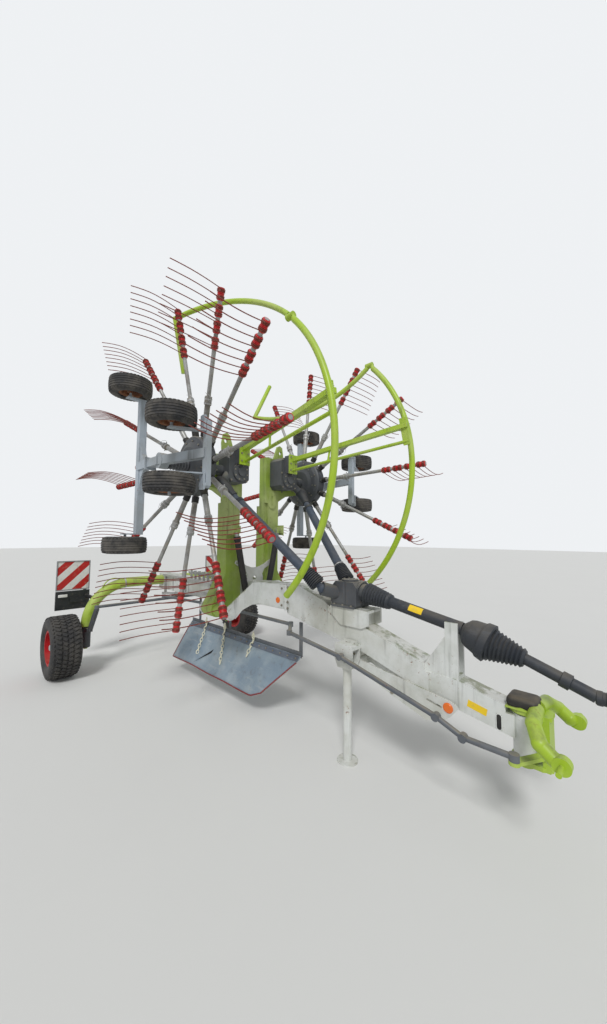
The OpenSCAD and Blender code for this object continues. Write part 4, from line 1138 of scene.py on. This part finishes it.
class RAKE_OT_fasteners(RakeOperator):
    """Bolts, pin heads and washers along the beam, plates and housings"""

    bl_idname = "rake.fasteners"
    bl_label = "Fasteners"

    def make(self, sizes, colours):
        bm = bmesh.new()
        # Flange of the front beam
        for z in (1105, 1165, 1250, 1310):
            for y in (-116, 116):
                add_bolt(bm, at(2898, y, z), (1, 0, 0), 0.011)
                add_bolt(bm, at(2868, y, z), (-1, 0, 0), 0.011)
        add_bolts(bm, [at(2898, y, 1328) for y in (-60, 0, 60)], (1, 0, 0), 0.009)
        # Half width at the plate, bolt size and the bolts' places, for cheeks, straps and arch
        for half, size, spots in (
                (BEAM_HALF, 0.013, ((3720, 780), (4060, 640), (4395, 560))),
                (114.2, 0.010, ((3640, 925), (3640, 860), (3640, 760), (3720, 925), (3720, 850))),
                (BEAM_HALF, 0.010, ((1985, 1100), (1985, 1250), (2390, 1120), (2390, 1280),
                                    (2800, 1120), (2800, 1290)))):
            for side in (-1, 1):
                add_bolts(bm, [at(x, side * half, z) for x, z in spots], (0, side, 0), size)
        # Gearbox base and cover
        places = [at(x, y, 1228) for x in (3500, 3590, 3680) for y in (-112, 112)]
        add_bolts(bm, places, UP, 0.009)
        for i in range(8):
            angle = i * math.tau / 8
            add_bolt(bm, at(3590 + 62 * math.cos(angle), 62 * math.sin(angle), 1445), UP, 0.006)
        new_piece("beam_fasteners", bm, "bolt", "chassis")
        for name, side in SIDES:
            bm = bmesh.new()
            for i in range(8):
                angle = i * math.tau / 8 + 0.3
                spot = at(2420, 360 + 80 * math.cos(angle), 2510 + 80 * math.sin(angle))
                add_bolt(bm, spot, (1, 0, 0), 0.008)
            places = [at(2484, y, z) for z in (2620, 2700, 2780) for y in (318, 402)]
            places += [at(2395, y, z) for y, z in (
                (270, 2420), (470, 2420), (270, 2760), (470, 2760), (250, 2590), (490, 2680))]
            add_bolts(bm, places, (1, 0, 0), 0.009)
            spots = ((440, 2390), (620, 2420), (620, 2650), (440, 2690), (530, 2660))
            for x, ahead in ((2190, 1), (2060, -1)):
                add_bolts(bm, [at(x, y, z) for y, z in spots], (ahead, 0, 0), 0.010)
            mirror_y(bm, side)
            new_piece("arm_fasteners_" + name, bm, "bolt", body_of("rotor_arm_" + name))
            bm = bmesh.new()
            axle = middle("drum_" + name)
            for i in range(12):
                angle = math.radians(i * 30 + 12)
                out = Vector((math.cos(angle), 0, -math.sin(angle)))
                for r, y in ((0.215, 0.7285), (0.262, 0.727)):
                    add_bolt(bm, Vector((axle.x, y - 0.004, axle.z)) + out * r, (0, -1, 0), 0.008)
                add_bolt(bm, Vector((axle.x, 0.872, axle.z)) + out * 0.245, (0, 1, 0), 0.008)
            mirror_y(bm, side)
            new_piece("drum_fasteners_" + name, bm, "bolt", body_of("drum_" + name))


class RAKE_OT_arm_details(RakeOperator):
    """Split pins and end caps of the tine arms"""

    bl_idname = "rake.arm_details"
    bl_label = "Arm details"

    def make(self, sizes, colours):
        template = bmesh.new()
        collar = [(0.0272, -0.03), (0.0355, -0.03), (0.0355, -0.024), (0.0345, 0.024),
                  (0.0355, 0.03), (0.0272, 0.03)]
        add_turned(template, collar, on_arm(0.345), ARM_ALONG, 24, 0)
        place = on_arm(0.660)
        for low, high in ((-0.030, -0.018), (0.010, 0.024)):
            ring = [(0.0345, low), (0.0372, low), (0.0372, high), (0.0345, high)]
            add_turned(template, ring, place, ARM_ALONG, 24, 1)
        pin_end = UP * 0.052
        add_tube(template, [place - pin_end, place + pin_end], 0.006, 10, 1)
        loop = [place + pin_end, place + UP * 0.062 + ARM_ALONG * 0.02,
                place + UP * 0.045 + ARM_ALONG * 0.055 + Vector((0, 0.02, 0)),
                place + ARM_ALONG * 0.066 + Vector((0, 0.038, 0))]
        add_tube(template, loop, 0.0022, 6, 1)
        arm_mesh = as_template(template)
        for name, side in SIDES:
            bm = on_every_arm(arm_mesh, name, side, sizes.tine_arms)
            new_piece("arm_collars_" + name, bm, ("black", "steel"), body_of("tine_arms_" + name))
        bpy.data.meshes.remove(arm_mesh)


class RAKE_OT_road_kit(RakeOperator):
    """Lamps, reflectors, blank plates and the caps on the carriages"""

    bl_idname = "rake.road_kit"
    bl_label = "Road kit"

    def make(self, sizes, colours):
        self.plates()
        self.loops_and_bands()
        self.caps()

    def plates(self):
        """Lamps, round reflectors, blank plates and the oval slot on the nose, drawn as a white rim
        round a black plate of painted shade.
        """
        bm = bmesh.new()
        nose_slope = Matrix.Rotation(math.radians(12.5), 4, "Y")
        for side in (-1, 1):
            out = Vector((0, side, 0))
            add_block(bm, at(-463, side * 1312, 962), (0.014, 0.112, 0.040), None, 0.006, 1, 3)
            for x, z, size in ((2742, 1165, 0.030), (4487, 659, 0.034)):
                disc = [(0, 0.009), (size * 0.8, 0.008), (size * 0.94, 0.004), (size, 0.004),
                        (size, 0), (0, 0)]
                add_turned(bm, disc, at(x, side * BEAM_HALF, z), out, 32, 2)
            add_block(bm, at(4665, side * 70.6, 708), (0.122, 0.0012, 0.046), nose_slope,
                      0.0004, 3, 1)
            # Painted shade: this black plate fills the oval rim to stand for the slot's dark opening
            add_block(bm, at(4794, side * 70.6, 664), (0.032, 0.0020, 0.096), None, 0.0008, 4, 2)
            add_tube(bm, oval(at(4794, side * 71.4, 664), 0.0165, 0.033), 0.0032, 8, 5)
        lie = (SHAFT_FRONT - SHAFT_BACK).normalized()
        label = SHAFT_BACK + lie * ((4.222 - 3.770) / lie.x)
        add_patch(bm, label, lie, 0.0452, 0.110, 112, 178, 3)
        finishes = ("lens", "pale_lens", "amber", "yellow", "black", "white")
        new_piece("lamps_and_plates", bm, finishes, "chassis")

    def loops_and_bands(self):
        """Bands round the axle tube and a welded loop of round bar on each bend."""
        # The tube's bend: its centre's place and its radius, in millimetres
        bend_y, bend_z, bend = 600, 620, 520
        bm = bmesh.new()
        for side in (-1, 1):
            loop = []
            for i in range(9):
                angle = math.radians(12 + i * 3)
                r = bend + 72 + 44 * math.sin(math.pi * i / 8)
                loop.append(at(18, side * (bend_y + r * math.sin(angle)),
                               bend_z + r * math.cos(angle)))
            add_tube(bm, loop, 0.008, 10, 0)
            angle = math.radians(6)
            spot = at(0, side * (bend_y + bend * math.sin(angle)), bend_z + bend * math.cos(angle))
            band = [(0.0705, -0.009), (0.0735, -0.009), (0.0735, 0.009), (0.0705, 0.009)]
            add_turned(bm, band, spot, (0, side * math.cos(angle), -math.sin(angle)), 40, 1)
        new_piece("axle_loops_and_bands", bm, ("lime", "steel"), "chassis")

    def caps(self):
        """Amber caps on the rotor carriages and the rounded cover over the steering pin."""
        cap = [(0, 0.024), (0.020, 0.022), (0.031, 0.012), (0.034, 0.0), (0, 0)]
        for name, side in SIDES:
            bm = bmesh.new()
            add_turned(bm, cap, at(1728, 1175, 2530) + Vector((0.0145, 0, 0)), (-1, 0, 0), 32, 0)
            mirror_y(bm, side)
            new_piece("carriage_cap_" + name, bm, "amber", body_of("carriage_" + name))
        bm = bmesh.new()
        add_block(bm, at(4920, 0, 811), (0.170, 0.162, 0.072), None, 0.030, 0, 6)
        add_block(bm, at(4920, 0, 779), (0.178, 0.166, 0.014), None, 0.006, 1, 2)
        new_piece("nose_cap", bm, ("black", "lime"), "headstock")


class RAKE_PT_pieces(bpy.types.Panel):
    """Sidebar list of the machine's pieces"""

    bl_label = "Hay rake"
    bl_space_type = "VIEW_3D"
    bl_region_type = "UI"
    bl_category = "Hay rake"

    def draw(self, context):
        for operator in OPERATORS:
            self.layout.operator(operator.bl_idname)
        for name in RakeSizes.__annotations__:
            self.layout.prop(context.scene.rake_sizes, name)
        for name in RakeColours.__annotations__:
            self.layout.prop(context.scene.rake_colours, name)


OPERATORS = (
    RAKE_OT_stage,
    RAKE_OT_finishes,
    RAKE_OT_tines,
    RAKE_OT_rotor_wheels,
    RAKE_OT_road_wheels,
    RAKE_OT_drive_covers,
    RAKE_OT_curtain,
    RAKE_OT_fasteners,
    RAKE_OT_arm_details,
    RAKE_OT_road_kit,
)
CLASSES = (RakeSizes, RakeColours) + OPERATORS + (RAKE_PT_pieces,)


def register():
    for item in CLASSES:
        bpy.utils.register_class(item)
    bpy.types.Scene.rake_sizes = PointerProperty(type=RakeSizes)
    bpy.types.Scene.rake_colours = PointerProperty(type=RakeColours)


def unregister():
    del bpy.types.Scene.rake_colours
    del bpy.types.Scene.rake_sizes
    for item in reversed(CLASSES):
        bpy.utils.unregister_class(item)


def main():
    register()
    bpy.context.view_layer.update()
    for operator in OPERATORS:
        group, name = operator.bl_idname.split(".")
        getattr(getattr(bpy.ops, group), name)()


if __name__ == "__main__":
    main()
